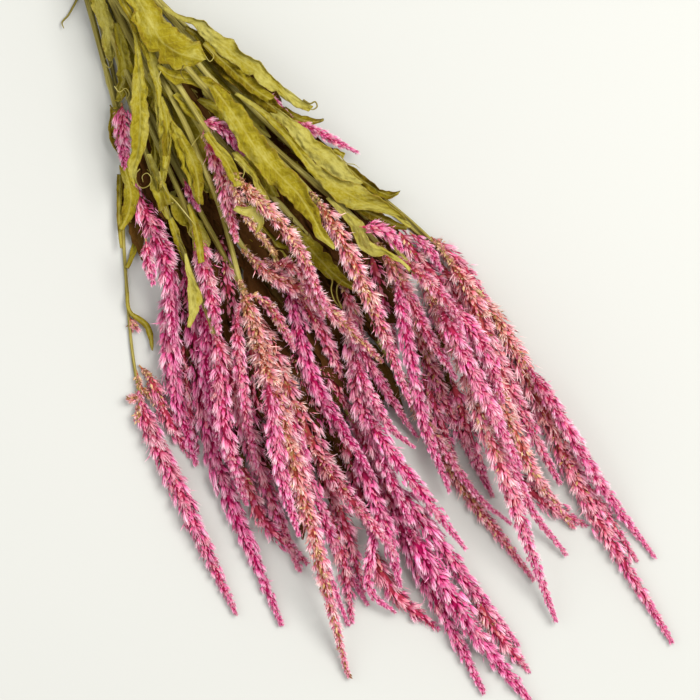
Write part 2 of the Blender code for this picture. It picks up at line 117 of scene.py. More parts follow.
# The longest and the shortest wave of each unevenness
RIM_WAVE = (24, 6)
RIPPLE_WAVE = (30, 9)
PLEAT_WAVE = (60, 20)
FIELD_WAVE = (40, 12)
CREASE_WAVE = (19, 5)
CROSS_CREASE_WAVE = (13, 4)
ROLL_WAVE = (50, 25)
TWIST_WAVE = (70, 35)

Head = namedtuple("Head", "name half route base mid tip sides")
Leaf = namedtuple("Leaf", "stem leaves_at width base mid tip arch")
Sprig = namedtuple("Sprig", "name after half base mid tip")
Line = namedtuple("Line", "xy z along radius")
Loose = namedtuple("Loose", "per_mm kind leans skew sizes foot feet slimness bend tones widest keel")

# Loose scales on a plume, so many to a millimetre. Each scale draws its own number from a pair.
# FILLER's kind of 0.6 and its lower tones paint the short scales inside darker: painted shade
FILLER = Loose(4.4, kind=0.6, leans=(8, 44), skew=0.35, sizes=(0.7, 1.25), foot=0.3, feet=(0.75, 1.1),
               slimness=(0.15, 0.24), bend=0.3, tones=(0, 0.8), widest=0.45, keel=0)
BRACT = Loose(2.0, kind=0.1, leans=(15, 85), skew=0.5, sizes=(2.2, 4.2), foot=1.0, feet=(0.35, 0.8),
              slimness=(0.12, 0.24), bend=0.4, tones=(0, 1), widest=0.45, keel=0.55)
HAIR = Loose(0.9, kind=0.85, leans=(15, 55), skew=0.4, sizes=(0.5, 1.0), foot=1.0, feet=(0.55, 0.9),
             slimness=None, bend=0.5, tones=(0.6, 1), widest=0.4, keel=0)
HAIR_HALF = 0.12

# From the lowest head up. half is a plume's half width. A side plume is (half, start, mid, tip).
HEADS = [
    Head("01", 8.1, [(118, -30)], (202, -52), (297, -94), (409, -117),
         [(7.5, (216, -71), (256, -94), (303, -109)), (5.8, (238, -60), (269, -78), (302, -92))]),
    Head("02", 8.1, [(163, -24)], (332, -18), (427, -30), (506, -38),
         [(6.4, (385, -16), (452, -11), (493, -6)), (7.0, (412, -24), (476, -23), (532, -17)),
          (6.0, (352, -26), (390, -34), (427, -46)), (4.1, (390, -40), (420, -62), (438, -57))]),
    Head("03", 7.5, [(165, 43)], (307, 84), (446, 73), (540, 71), [(5.2, (370, 86), (442, 85), (492, 89))]),
    Head("04", 7.0, [(102, -35), (177, -79)], (254, -116), (321, -127), (389, -136), []),
    Head("05", 7.5, [(141, -38)], (244, -58), (327, -79), (388, -91),
         [(6.4, (265, -68), (299, -84), (338, -96))]),
    Head("06", 6.4, [(164, 10)], (321, 20), (391, 16), (466, 22), [(2.9, (373, 18), (409, 21), (430, 28))]),
    Head("07", 7.5, [(157, 42)], (282, 80), (353, 70), (426, 65),
         [(7.0, (355, 64), (414, 55), (452, 58)), (4.6, (355, 60), (425, 43), (463, 46))]),
    Head("08", 7.5, [(89, -33)], (152, -53), (196, -61), (238, -82), []),
    Head("09", 8.1, [(123, -23)], (247, -33), (339, -45), (407, -38),
         [(5.2, (315, -49), (390, -66), (426, -68)), (4.6, (310, -52), (393, -76), (430, -84))]),
    Head("10", 6.4, [(124, -10)], (236, -6), (295, -24), (363, -25),
         [(5.2, (256, -5), (286, -6), (317, -12))]),
    Head("11", 7.5, [(124, 1)], (263, 19), (324, -8), (398, -21),
         [(4.1, (293, 10), (331, 8), (358, 9)), (4.1, (310, 1), (346, -1), (362, 4)),
          (5.2, (343, -9), (389, -6), (428, -2))]),
    Head("12", 7.0, [(134, 28)], (288, 60), (378, 45), (493, 20),
         [(6.4, (291, 62), (331, 69), (367, 62)), (6.0, (304, 60), (358, 54), (405, 50))]),
    Head("13", 6.4, [(102, -23)], (191, -37), (215, -45), (246, -56), []),
    Head("14", 7.5, [(116, -12), (167, -13)], (231, -31), (322, -56), (456, -100),
         [(4.6, (239, -38), (288, -65), (323, -79)), (4.1, (237, -28), (250, -23), (276, -24)),
          (5.8, (296, -52), (338, -70), (369, -79))]),
    Head("15", 6.4, [(126, -7)], (217, -17), (260, 2), (310, 15), [(5.2, (226, -11), (240, 3), (270, 0))]),
    Head("16", 7.0, [(152, 24)], (258, 50), (337, 36), (411, 28),
         [(4.6, (271, 50), (313, 46), (341, 46)), (5.2, (288, 42), (353, 17), (395, 8)),
          (4.6, (262, 53), (288, 63), (315, 66))]),
    Head("17", 6.4, [(74, -2)], (148, -2), (168, -5), (206, -19), [(4.1, (158, -1), (200, -6), (224, -4))]),
    Head("18", 5.2, [(96, 1)], (179, 2), (220, 9), (271, 4), []),
    Head("19", 6.4, [(117, 12)], (212, 33), (272, 29), (339, 16), []),
]

# Each leaf grows from a stem, at this distance along X from the band.
LEAVES = [
    Leaf("01", 95, 20, (108, -26), (140, -33), (172, -40), 0.25),
    Leaf("02", 148, 22, (162, -15), (200, -4), (240, 2), 0.25),
    Leaf("03", 118, 22, (132, 26), (170, 34), (210, 52), 0.25),
    Leaf("04", 123, 6, (134, -54), (152, -68), (174, -78), 0.5),
    Leaf("04", 196, 4, (207, -94), (219, -90), (236, -96), 0.4),
    Leaf("05", 88, 18, (100, -18), (128, -14), (158, -22), 0.3),
    Leaf("05", 150, 14, (163, -38), (187, -36), (213, -44), 0.3),
    Leaf("06", 75, 20, (88, 14), (125, 22), (165, 30), 0.3),
    Leaf("07", 134, 7, (144, 43), (164, 51), (173, 62), 0.4),
    Leaf("07", 182, 9, (193, 58), (215, 67), (233, 77), 0.4),
    Leaf("08", 32, 12, (42, -11), (58, -17), (78, -24), 0.3),
    Leaf("08", 86, 9, (99, -41), (115, -51), (149, -55), 0.4),
    Leaf("09", 60, 18, (72, -12), (105, -10), (142, -18), 0.3),
    Leaf("10", 95, 16, (108, -5), (142, -8), (178, -20), 0.3),
    Leaf("11", 110, 20, (124, 6), (160, 8), (202, 14), 0.3),
    Leaf("11", 203, 20, (213, 13), (247, 16), (269, 27), 0.3),
    Leaf("12", 70, 22, (84, 22), (125, 34), (165, 46), 0.3),
    Leaf("12", 150, 19, (162, 38), (195, 46), (228, 58), 0.3),
    Leaf("12", 203, 8, (211, 49), (236, 60), (252, 69), 0.5),
    Leaf("13", 175, 9, (199, -48), (219, -54), (234, -70), 0.4),
    Leaf("14", 94, 8, (109, -8), (122, -2), (139, 3), 0.5),
    Leaf("14", 97, 7, (109, -13), (141, -27), (163, -46), 0.5),
    Leaf("14", 116, 9, (128, -14), (154, -19), (185, -27), 0.5),
    Leaf("15", 56, 14, (67, 1), (88, 4), (107, 8), 0.3),
    Leaf("15", 180, 7, (189, -9), (195, -2), (209, -5), 0.4),
    Leaf("16", 44, 15, (66, 17), (116, 40), (166, 61), 0.3),
    Leaf("16", 120, 20, (132, 26), (186, 44), (252, 72), 0.4),
    Leaf("16", 203, 8, (212, 39), (245, 42), (275, 56), 0.5),
    Leaf("17", 60, 13, (69, -4), (110, -21), (149, -55), 0.3),
    Leaf("18", 84, 7, (96, -2), (115, 13), (134, 25), 0.5),
    Leaf("19", 40, 17, (50, 6), (79, 12), (111, 22), 0.3),
    Leaf("19", 106, 19, (118, 17), (169, 18), (237, 28), 0.4),
]

# Small plumes from the leaf axils, each laid after the head that it names.
SPRIGS = [
    Sprig("1", "07", 3.5, (133, 35), (147, 42), (161, 46)),
    Sprig("2", "07", 3.0, (157, 36), (166, 37), (178, 38)),
    Sprig("3", "07", 3.5, (167, 49), (184, 59), (199, 68)),
    Sprig("4", "07", 4.1, (258, 70), (269, 73), (283, 73)),
    Sprig("5", "08", 5.8, (104, -34), (118, -42), (134, -51)),
    Sprig("6", "08", 4.6, (179, -64), (190, -69), (201, -73)),
    Sprig("7", "09", 3.5, (161, -26), (168, -27), (178, -28)),
    Sprig("8", "16", 5.2, (239, 48), (247, 57), (262, 59)),
    Sprig("9", "17", 4.1, (138, 2), (146, 9), (166, 11)),
]


# --- What only shows -----------------------------------------------------------------------------

# How far each spike's florets have opened and faded, from its start to its tip: the main one, then its sides.
AGES = {
    "01": [(0.2, 0.05), (0.2, 0.1), (0.1, 0.1)],
    "02": [(0.4, 0.15, 0.1), (0.2, 0.1), (0.1, 0.1), (0.2, 0.1), (0.2, 0.1)],
    "03": [(0.8, 0.5, 0.15), (0.3, 0.1)],
    "04": [(0.35, 0.2)],
    "05": [(0.4, 0.3), (0.3, 0.2)],
    "06": [(1.0, 0.7, 0.3), (0.3, 0.2)],
    "07": [(0.8, 0.5, 0.25), (0.9, 0.5), (0.3, 0.2)],
    "08": [(0.3, 0.1)],
    "09": [(0.8, 0.6, 0.3), (0.3, 0.1), (0.2, 0.1)],
    "10": [(0.2, 0.05), (0.5, 0.3)],
    "11": [(0.6, 0.3, 0.1), (0.3, 0.2), (0.3, 0.2), (0.2, 0.1)],
    "12": [(1.0, 0.5, 0.1), (0.3, 0.2), (0.3, 0.2)],
    "13": [(0.4, 0.2)],
    "14": [(0.9, 0.75, 0.45), (0.4, 0.2), (0.6, 0.4), (0.3, 0.1)],
    "15": [(0.75, 0.6, 0.6), (0.6, 0.4)],
    "16": [(0.8, 0.5, 0.2), (0.5, 0.2), (0.2, 0.1), (0.6, 0.3)],
    "17": [(0.5, 0.4), (0.8, 0.8)],
    "18": [(1.0, 0.7, 0.25)],
    "19": [(0.9, 0.6, 0.25)],
}
# Spikes that the uppermost ones hide in part: owner, half width, start, mid and tip.
EXTRA_SPIKES = [
    ("13", 6.5, (198, -25), (226, -38), (258, -53)),
    ("05", 7.0, (341, -49), (378, -54), (419, -66)),
    ("05", 6.4, (364, -58), (397, -66), (430, -81)),
    ("02", 7.5, (400, -49), (427, -51), (461, -41)),
    ("06", 6.4, (255, 43), (282, 34), (310, 26)),
    ("03", 7.0, (249, 63), (279, 67), (308, 72)),
    ("06", 6.4, (331, 31), (356, 26), (382, 21)),
    ("03", 6.4, (343, 44), (372, 36), (405, 29)),
    ("01", 6.4, (258, -43), (291, -60), (324, -71)),
    ("01", 7.0, (317, -87), (350, -93), (387, -85)),
    ("04", 6.4, (244, -104), (268, -108), (297, -110)),
    ("01", 6.0, (237, -76), (270, -93), (298, -105)),
    ("03", 6.4, (406, 45), (431, 52), (456, 65)),
    ("05", 6.4, (278, -27), (314, -29), (354, -34)),
    ("02", 6.4, (333, -26), (362, -35), (395, -45)),
    ("02", 6.4, (458, -13), (486, -12), (510, -9)),
    ("03", 5.5, (405, 77), (447, 78), (489, 79)),
    ("07", 6.0, (266, 79), (287, 84), (315, 87)),
    ("07", 6.4, (280, 63), (309, 55), (345, 41)),
    ("07", 6.4, (282, 75.5), (306, 72.5), (342, 63), (367, 60)),
    ("03", 6.0, (318, 77), (344, 77), (370, 74), (396, 72)),
    ("05", 5.4, (291, -17), (319, -16), (344, -20)),
]
# Leaves painted dark brown in the deep gaps, partly the brown of dead leaves and partly painted shade: owner,
# width and points.
UNDER_LEAVES = [
    ("05", 18, (268, -15), (313, -26), (356, -35)),
    ("05", 16, (248, -15), (285, -21), (330, -31)),
    ("01", 20, (172, -26), (212, -34), (250, -45)),
    ("04", 14, (133, -49), (160, -61), (186, -72)),
    ("02", 18, (190, -9), (220, -11), (255, -15)),
    ("06", 20, (229, 29), (258, 27), (292, 23)),
    ("06", 16, (288, 12), (318, 10), (345, 9)),
    ("01", 18, (153, -34), (192, -44), (229, -55)),
    ("07", 20, (189, 43), (224, 51), (262, 59)),
    ("01", 14, (242, -62), (283, -73), (322, -87)),
    ("02", 18, (216, -4), (242, 1), (273, 4)),
    ("03", 16, (289, 46), (320, 43), (350, 39)),
    ("01", 18, (121, -25), (152, -31), (185, -38)),
    ("06", 20, (157, 21), (189, 28), (226, 32)),
    ("02", 18, (129, -2), (158, 0), (194, -3)),
    ("07", 18, (114, 28), (141, 39), (168, 48)),
    ("01", 14, (228, -52), (257, -55), (289, -63)),
    ("06", 14, (265, 7), (298, 5), (334, 2)),
    ("05", 18, (105, 4), (126, 5), (150, 4)),
    ("05", 18, (191, 15), (212, 15), (235, 14)),
    ("01", 18, (149, -46), (162, -47), (179, -49)),
]
# Leaves whose outlines show, by stem and place on it: tone, then X, Y, X, Y... of the lower and higher edge.
# The tone is partly each leaf's own colour and partly painted shade, darker for the leaves that lie under
# others.
TRACED = {
    ("08", 0): (0.8, (29, -13, 39, -16, 49, -18, 58, -20, 67, -24, 73, -26, 77, -26),
        (34, -5, 43, -8, 54, -10, 63, -13, 70, -16, 75, -19, 78, -25)),
    ("19", 0): (0.55, (48, 3, 60, 0, 75, -2, 90, -4, 101, -1, 108, 10, 109, 19),
        (52, 12, 64, 15, 77, 15, 85, 16, 94, 22, 101, 24, 110, 23)),
    ("15", 0): (0.3, (65, 1, 76, -1, 88, -2, 100, -2, 105, 3, 108, 8),
        (67, 4, 78, 6, 89, 8, 99, 10, 105, 11, 109, 12)),
    ("16", 0): (0.85, (67, 16, 80, 22, 88, 27, 96, 27, 105, 29, 119, 34, 131, 38, 144, 45, 157, 51, 166, 57),
        (66, 18, 78, 24, 86, 35, 96, 36, 105, 41, 114, 44, 124, 49, 135, 50, 150, 54, 165, 62)),
    ("18", 0): (0.45, (96, -4, 106, -3, 112, -1, 118, 7, 129, 16, 135, 23),
        (96, -2, 101, 0, 106, 7, 113, 15, 122, 20, 133, 25)),
    ("11", 0): (0.5, (124, 5, 137, 9, 147, 9, 159, 10, 173, 11, 185, 11, 197, 12),
        (124, 7, 134, 19, 143, 24, 153, 25, 166, 24, 179, 22, 200, 15)),
    ("12", 1): (0.92, (135, 28, 143, 32, 154, 36, 164, 40, 173, 41, 183, 41, 191, 43, 197, 47, 202, 48,
        209, 52, 217, 60),
        (134, 30, 140, 35, 148, 40, 161, 46, 171, 50, 179, 51, 188, 56, 194, 58, 202, 59, 208, 59, 217, 62)),
    ("16", 1): (0.72, (132, 25, 149, 32, 170, 36, 190, 38, 201, 38, 211, 40, 221, 43, 228, 50, 235, 58,
        241, 65, 254, 70),
        (132, 27, 148, 35, 169, 41, 192, 43, 200, 49, 208, 54, 217, 60, 229, 65, 238, 70, 247, 72, 254, 72)),
    ("19", 1): (0.55, (122, 15, 140, 13, 157, 12, 172, 12, 187, 15, 195, 17, 205, 20, 213, 21, 221, 23,
        229, 21, 236, 24, 241, 26),
        (123, 19, 136, 24, 153, 26, 164, 26, 176, 28, 188, 30, 201, 32, 215, 31, 224, 28, 232, 28, 237, 28,
        241, 27)),
    ("17", 0): (0.72, (68, -4, 76, -6, 86, -12, 96, -20, 108, -29, 121, -37, 130, -43, 135, -49, 147, -54),
        (68, -3, 77, -4, 89, -9, 100, -13, 112, -18, 125, -27, 134, -36, 141, -45, 149, -54)),
    ("08", 1): (0.4, (99, -39, 107, -46, 115, -51, 124, -52, 135, -54, 144, -54),
        (101, -36, 113, -40, 123, -44, 130, -46, 138, -49, 146, -53)),
    ("13", 0): (0.95, (196, -48, 205, -53, 215, -58, 224, -63, 234, -70),
        (196, -47, 207, -50, 222, -51, 228, -57, 235, -69)),
    ("04", 0): (0.15, (134, -57, 145, -64, 156, -71, 166, -76, 173, -79),
        (136, -54, 147, -61, 157, -68, 167, -74, 174, -78)),
    ("07", 1): (0.1, (203, 57, 208, 58, 216, 59, 223, 62, 229, 65, 233, 69, 233, 76),
        (201, 59, 205, 62, 213, 64, 217, 67, 223, 70, 230, 74, 232, 78)),
    ("07", 0): (0.15, (155, 45, 162, 46, 166, 48, 170, 50, 172, 55, 174, 62),
        (154, 47, 159, 49, 164, 52, 166, 56, 170, 58, 173, 63)),
    ("12", 2): (0.2, (212, 49, 222, 50, 230, 50, 237, 54, 244, 59, 250, 64, 254, 69),
        (211, 50, 220, 53, 228, 55, 234, 60, 241, 64, 248, 67, 252, 71)),
    ("16", 2): (0.95, (212, 38, 223, 40, 232, 40, 240, 39, 250, 39, 257, 43, 260, 50, 265, 52, 268, 55,
        276, 56),
        (212, 40, 222, 43, 231, 46, 236, 49, 242, 47, 248, 46, 253, 50, 260, 53, 266, 56, 274, 58)),
    ("11", 1): (0.45, (214, 11, 224, 10, 234, 8, 242, 9, 249, 12, 256, 16, 262, 20, 269, 25),
        (213, 13, 223, 18, 230, 22, 239, 24, 249, 24, 256, 24, 263, 25, 269, 28)),
    ("12", 0): (0.12, (85, 21, 93, 24, 105, 23, 120, 25, 137, 31, 150, 36, 161, 42, 165, 46),
        (83, 23, 91, 28, 106, 31, 122, 36, 138, 41, 150, 44, 159, 47, 165, 47)),
}
# Leaves without a solid of their own: stem, tone, height, and the two edges.
MORE_LEAVES = [
    ("13", 0.6, 60, (60, -11, 71, -18, 83, -23, 93, -31, 101, -37),
        (61, -9, 74, -11, 87, -15, 96, -22, 102, -33)),
    ("16", 0.45, 60, (50, -2, 60, -3, 72, -4, 81, -6, 93, -7),
        (51, 2, 61, 1, 72, 1, 83, -1, 92, -5)),
    ("14", 0.7, 70, (115, -14, 123, -20, 132, -25, 141, -29, 148, -33),
        (115, -12, 126, -13, 136, -18, 143, -24, 150, -32)),
    ("09", 0.5, 14, (131, -53, 139, -57, 148, -61, 156, -67, 163, -74),
        (135, -49, 145, -50, 155, -54, 161, -62, 165, -73)),
    ("10", 0.75, 40, (145, -40, 154, -46, 162, -47, 168, -49),
        (145, -38, 155, -37, 163, -40, 169, -46)),
    ("08", 0.8, 70, *TRACED["08", 0][1:]),
    ("15", 0.9, 90, (190, -11, 196, -9, 198, -5, 204, -5, 210, -7),
        (189, -8, 192, -4, 194, 1, 204, 3, 210, -5)),
    ("04", 0.6, 4, (155, -67, 164, -67, 172, -70, 178, -76, 184, -83),
        (155, -65, 162, -60, 171, -63, 178, -70, 186, -82)),
    ("09", 0.6, 9, (149, -44, 157, -47, 166, -47, 173, -47),
        (150, -39, 159, -40, 168, -42, 175, -46)),
    ("10", 0.6, 45, (115, -5, 123, -5, 132, -3, 138, 0),
        (115, -2, 123, 3, 133, 4, 138, 2)),
    ("06", 0.3, 14, (191, 56, 194, 57, 199, 59),
        (190, 58, 192, 61, 196, 62)),
    ("14", 0.55, 70, (111, -12, 124, -18, 135, -25, 146, -30, 150, -33),
        (112, -10, 124, -12, 133, -15, 141, -23, 150, -31)),
    ("18", 0.5, 60, (137, -16, 147, -18, 157, -20, 167, -24, 174, -26),
        (138, -12, 149, -11, 159, -13, 169, -17, 175, -24)),
    ("19", 0.7, 70, (63, 3, 77, -3, 90, -7, 106, -11, 118, -16),
        (64, 4, 78, 1, 92, -1, 107, -7, 118, -15)),
    ("12", 0.35, 45, (98, 25, 111, 26, 124, 29, 138, 33, 148, 39),
        (97, 28, 110, 33, 122, 37, 136, 41, 148, 45)),
    ("16", 0.6, 60, (144, -2, 153, -3, 163, -3, 172, -3, 180, -4),
        (144, 1, 154, 3, 165, 5, 174, 4, 182, 1)),
    ("09", 0.45, 10, (108, -24, 122, -28, 135, -34, 146, -40),
        (109, -22, 123, -23, 136, -28, 147, -36)),
    ("07", 0.5, 14, (181, 37, 193, 39, 206, 39, 217, 40),
        (181, 40, 193, 45, 206, 46, 218, 45)),
    ("11", 0.65, 45, (161, 6, 174, 6, 186, 6, 198, 6),
        (162, 9, 173, 12, 186, 12, 198, 10)),
    ("08", 0.75, 35, (135, -36, 145, -39, 156, -42, 167, -44),
        (136, -34, 147, -35, 158, -36, 168, -40)),
    ("10", 0.5, 35, (172, -32, 184, -36, 196, -41, 206, -45),
        (172, -30, 185, -32, 198, -36, 207, -41)),
    ("13", 0.55, 12, (173, -46, 182, -49, 192, -51, 200, -52),
        (173, -43, 184, -44, 194, -46, 201, -49)),
]
# Curled threads and fibres: stem, tone, radius, share of the pile's height, and X, Y, X, Y...
THREADS = [
    ("08", 0.45, 0.36, 1, (141, -43.8, 142.2, -47.4, 146.9, -49.7, 150.9, -48.7, 151.6, -44.4, 148.8, -41.2,
        145.1, -41.7, 145.1, -45, 148.3, -46.4)),
    ("08", 0.9, 0.4, 1, (76.3, -29, 80.6, -27.6, 78.6, -24.3, 74.4, -24.4, 75.1, -27.6)),
    ("19", 0.9, 0.35, 1, (86.5, -23.8, 92.6, -24.9, 95, -29.8, 99.8, -30.9, 102.5, -35.3)),
    ("19", 0.9, 0.35, 1, (90.3, -22.1, 94, -27.1, 99.4, -27.2, 103.4, -31.7)),
    ("19", 0.9, 0.3, 1, (93.1, -30.7, 97.6, -30.1, 97.5, -25.9, 101.6, -25.8, 103.7, -29.2)),
    ("08", 0, 0.5, 1, (99.5, -38.9, 103.2, -38.5, 103.8, -35.4, 103.4, -31.7)),
    ("19", 0.5, 0.38, 1, (101.3, 25.8, 106.1, 26.9, 110.3, 27, 111.5, 23.5, 107.8, 23.1)),
    ("16", 0, 0.6, 1, (157.2, 57.7, 161.3, 59.9, 161.9, 63, 165, 62.4, 164.9, 59, 162.2, 58)),
    ("12", 0, 0.55, 0.8, (248.3, 15.2, 254.9, 15.9, 259, 12.6, 266.1, 10.8, 272.2, 11.8)),
    ("12", 0, 0.5, 0.8, (271.7, 12.1, 264.8, 13.1, 259.4, 16.5, 257.8, 21.6)),
    ("16", 0.9, 0.35, 1, (196.1, 58.5, 202.2, 59.5, 204.8, 62.6, 208.7, 64.3)),
    ("14", 0.9, 0.5, 1, (147.9, -35.2, 154.7, -37.4, 161.4, -37.6, 169.1, -36.2, 178.1, -35.1,
        185.5, -34.2)),
    ("18", 0.9, 0.45, 1, (166, 5.5, 171.1, 7.1, 175.5, 6.4, 178.3, 3.2)),
    ("11", 0.9, 0.4, 1, (146.3, -11.5, 144.4, -6.9, 142.6, -2.3)),
    ("01", 0, 0.8, 1, (35.3, -22.3, 38, -26.7, 40.8, -32, 42.4, -37.1, 46, -38)),
    ("09", 0, 0.4, 1, (105, 9.8, 107.9, 5.9, 113.4, 5.8)),
    ("17", 0.9, 0.4, 1, (100.8, -3.3, 103.8, -7.3, 108.9, -7.8)),
    ("13", 0, 0.4, 1, (184.9, -35.2, 187.5, -39.7, 191.7, -39.5)),
]
# Tufts of a few florets on a stem: half width, and both ends.
TUFTS = [
    ("04", 3.4, (210.8, -96.2), (217.3, -96.8)),
    ("04", 2.6, (240.4, -110.1), (248.2, -113.0)),
    ("04", 2.6, (239.0, -105.8), (249.6, -104.2)),
    ("04", 3.4, (251.8, -115.9), (250.2, -121.8)),
    ("04", 3.4, (246.7, -104.5), (254.8, -104.8)),
    ("04", 3, (255.7, -118.4), (263.0, -124.3)),
    ("04", 3.2, (248.8, -112.0), (262.6, -107.6)),
]
THIN_STEMS = {"04": 0.62, "07": 0.6}
# Each stem's shift of its florets' tone is painted light: most spikes are painted lighter, and 04 and 01
# darker, to even out the shade on the spikes deep in the bunch
USUAL_PAINTED_LIGHT = 0.12
PAINTED_LIGHT_SHIFTS = {"04": -0.5, "01": -0.35}
# How far a main plume's florets reach back down its stem
USUAL_BACK = 7.0
BACKS = {"07": 17.0}
# Dark brown leaves among the stems, partly the brown of dead leaves and partly painted shade in the gaps:
# how many, and the lowest and highest Y by X, and the last X by Y
GAP_SHADE_LEAVES = 80
GAP_SHADE_STEMS = 7
GAP_SHADE_START = (105, 385)
GAP_SHADE_LENGTHS = (48, 82)
GAP_SHADE_WIDTHS = (13, 21)
GAP_SHADE_HEIGHTS = (1.5, 6.5)
GAP_SHADE_X = (95, 160, 230, 300, 360, 430, 470)
GAP_SHADE_LOW = (-22, -56, -84, -96, -86, -66, -50)
GAP_SHADE_HIGH = (24, 44, 66, 74, 66, 50, 36)
GAP_SHADE_END = ((-30, -20, 60, 65), (400, 345, 345, 400))
# Each piece's florets, leaves and threads draw from a seed of their own, from these numbers on.
PLUME_SEED, SIDE_SEED, STEM_SEED, LEAF_SEED, SPRIG_SEED, BAND_SEED = 100, 200, 300, 400, 500, 600
EXTRA_SEED, TUFT_SEED, UNDER_SEED, MORE_SEED, THREAD_SEED, GAP_SHADE_SEED = 700, 740, 800, 840, 870, 900
MOST_ON_A_STEM = 5


# --- Laying the pieces on the pile ---------------------------------------------------------------

def sample(at, along, table):
    """The rows of a table that is given at the lengths along, read at other lengths."""
    return np.column_stack([np.interp(at, along, column) for column in table.T])


def lengths(points):
    """How far along its line each point lies."""
    return np.concatenate([[0], np.cumsum(np.linalg.norm(np.diff(points, axis=0), axis=1))])


def smooth_step(t):
    t = np.clip(t, 0, 1)
    return t * t * (3 - 2 * t)


def curve_through(points, step=BEAD_STEP):
    """Points at even steps on a smooth plan curve through the given ones."""
    points = np.array(points, float)
    control = np.vstack([2 * points[0] - points[1], points, 2 * points[-1] - points[-2]])
    fine = [points[:1]]
    for a, b, c, d in zip(control, control[1:], control[2:], control[3:]):
        before, here, after = (math.sqrt(np.linalg.norm(q - p)) for p, q in ((a, b), (b, c), (c, d)))
        leaving = (c - b) + here * ((b - a) / before - (c - a) / (before + here))
        arriving = (c - b) + here * ((d - c) / after - (d - b) / (here + after))
        t = np.linspace(0, 1, 61)[1:, None]
        fine.append((2 * t**3 - 3 * t**2 + 1) * b + (t**3 - 2 * t**2 + t) * leaving
                    + (3 * t**2 - 2 * t**3) * c + (t**3 - t**2) * arriving)
    fine = np.vstack(fine)
    along = lengths(fine)
    even = np.linspace(0, along[-1], max(4, round(along[-1] / step) + 1))
    return sample(even, along, fine), even


def settle(along, need):
    """The smooth heights that stay on or above need and never climb faster than STEEPEST."""
    apart = np.abs(along[:, None] - along[None, :])
    sloped = (need[None, :] - STEEPEST * apart).max(1)
    widened = np.where(apart <= EASE, sloped[None, :], -1e9).max(1)
    near = (apart <= EASE).astype(float)
    return near @ widened / near.sum(1)


class Pile:
    """What lies there already, as beads: plan place, height and radius."""

    def __init__(self):
        self.beads = np.zeros((0, 4))

    def add(self, xy, z, radius):
        self.beads = np.vstack([self.beads, np.column_stack([xy, z, np.broadcast_to(radius, len(xy))])])

    def height(self, xy, radius, floor, apart_from=None):
        """The lowest place for a bead of this radius over each plan point."""
        beads = self.beads
        if apart_from is not None:
            place, reach = apart_from
            beads = beads[np.hypot(beads[:, 0] - place[0], beads[:, 1] - place[1]) > reach]
        radius = np.broadcast_to(radius, len(xy))
        away = ((xy[:, None, :] - beads[None, :, :2]) ** 2).sum(-1)
        touch = (radius[:, None] + beads[None, :, 3] + CLEAR) ** 2
        lifted = np.where(away < touch, beads[None, :, 2] + np.sqrt(np.clip(touch - away, 0, None)), -1e9)
        return np.maximum(floor, lifted.max(1, initial=-1e9))


def plume_radius(along, half, bare=0.0):
    """A plume's radius: a quick swell past its bare stalk, an even middle and a long taper."""
    t = np.clip((along - bare) / (along[-1] - bare), 0, 1)
    swell = np.clip(0.35 + t / 0.1, 0, 1)
    taper = 1 - 0.78 * np.clip((t - 0.42) / 0.58, 0, 1) ** 1.5
    return np.where(along < bare, RACHIS_RADIUS, np.maximum(half * swell * taper, RACHIS_RADIUS))


def bundle_places():
    """Each stem's place across the band, from the lowest row up."""
    first = 0
    places = {}
    for count in BUNDLE_ROWS:
        row = sorted(HEADS[first:first + count], key=lambda head: head.base[1] / head.base[0])
        for i, head in enumerate(row):
            places[head.name] = PITCH * (i - (count - 1) / 2)
        first += count
    return places


def nearest_point(xy, place):
    return int(np.argmin(np.hypot(*(xy - place).T)))


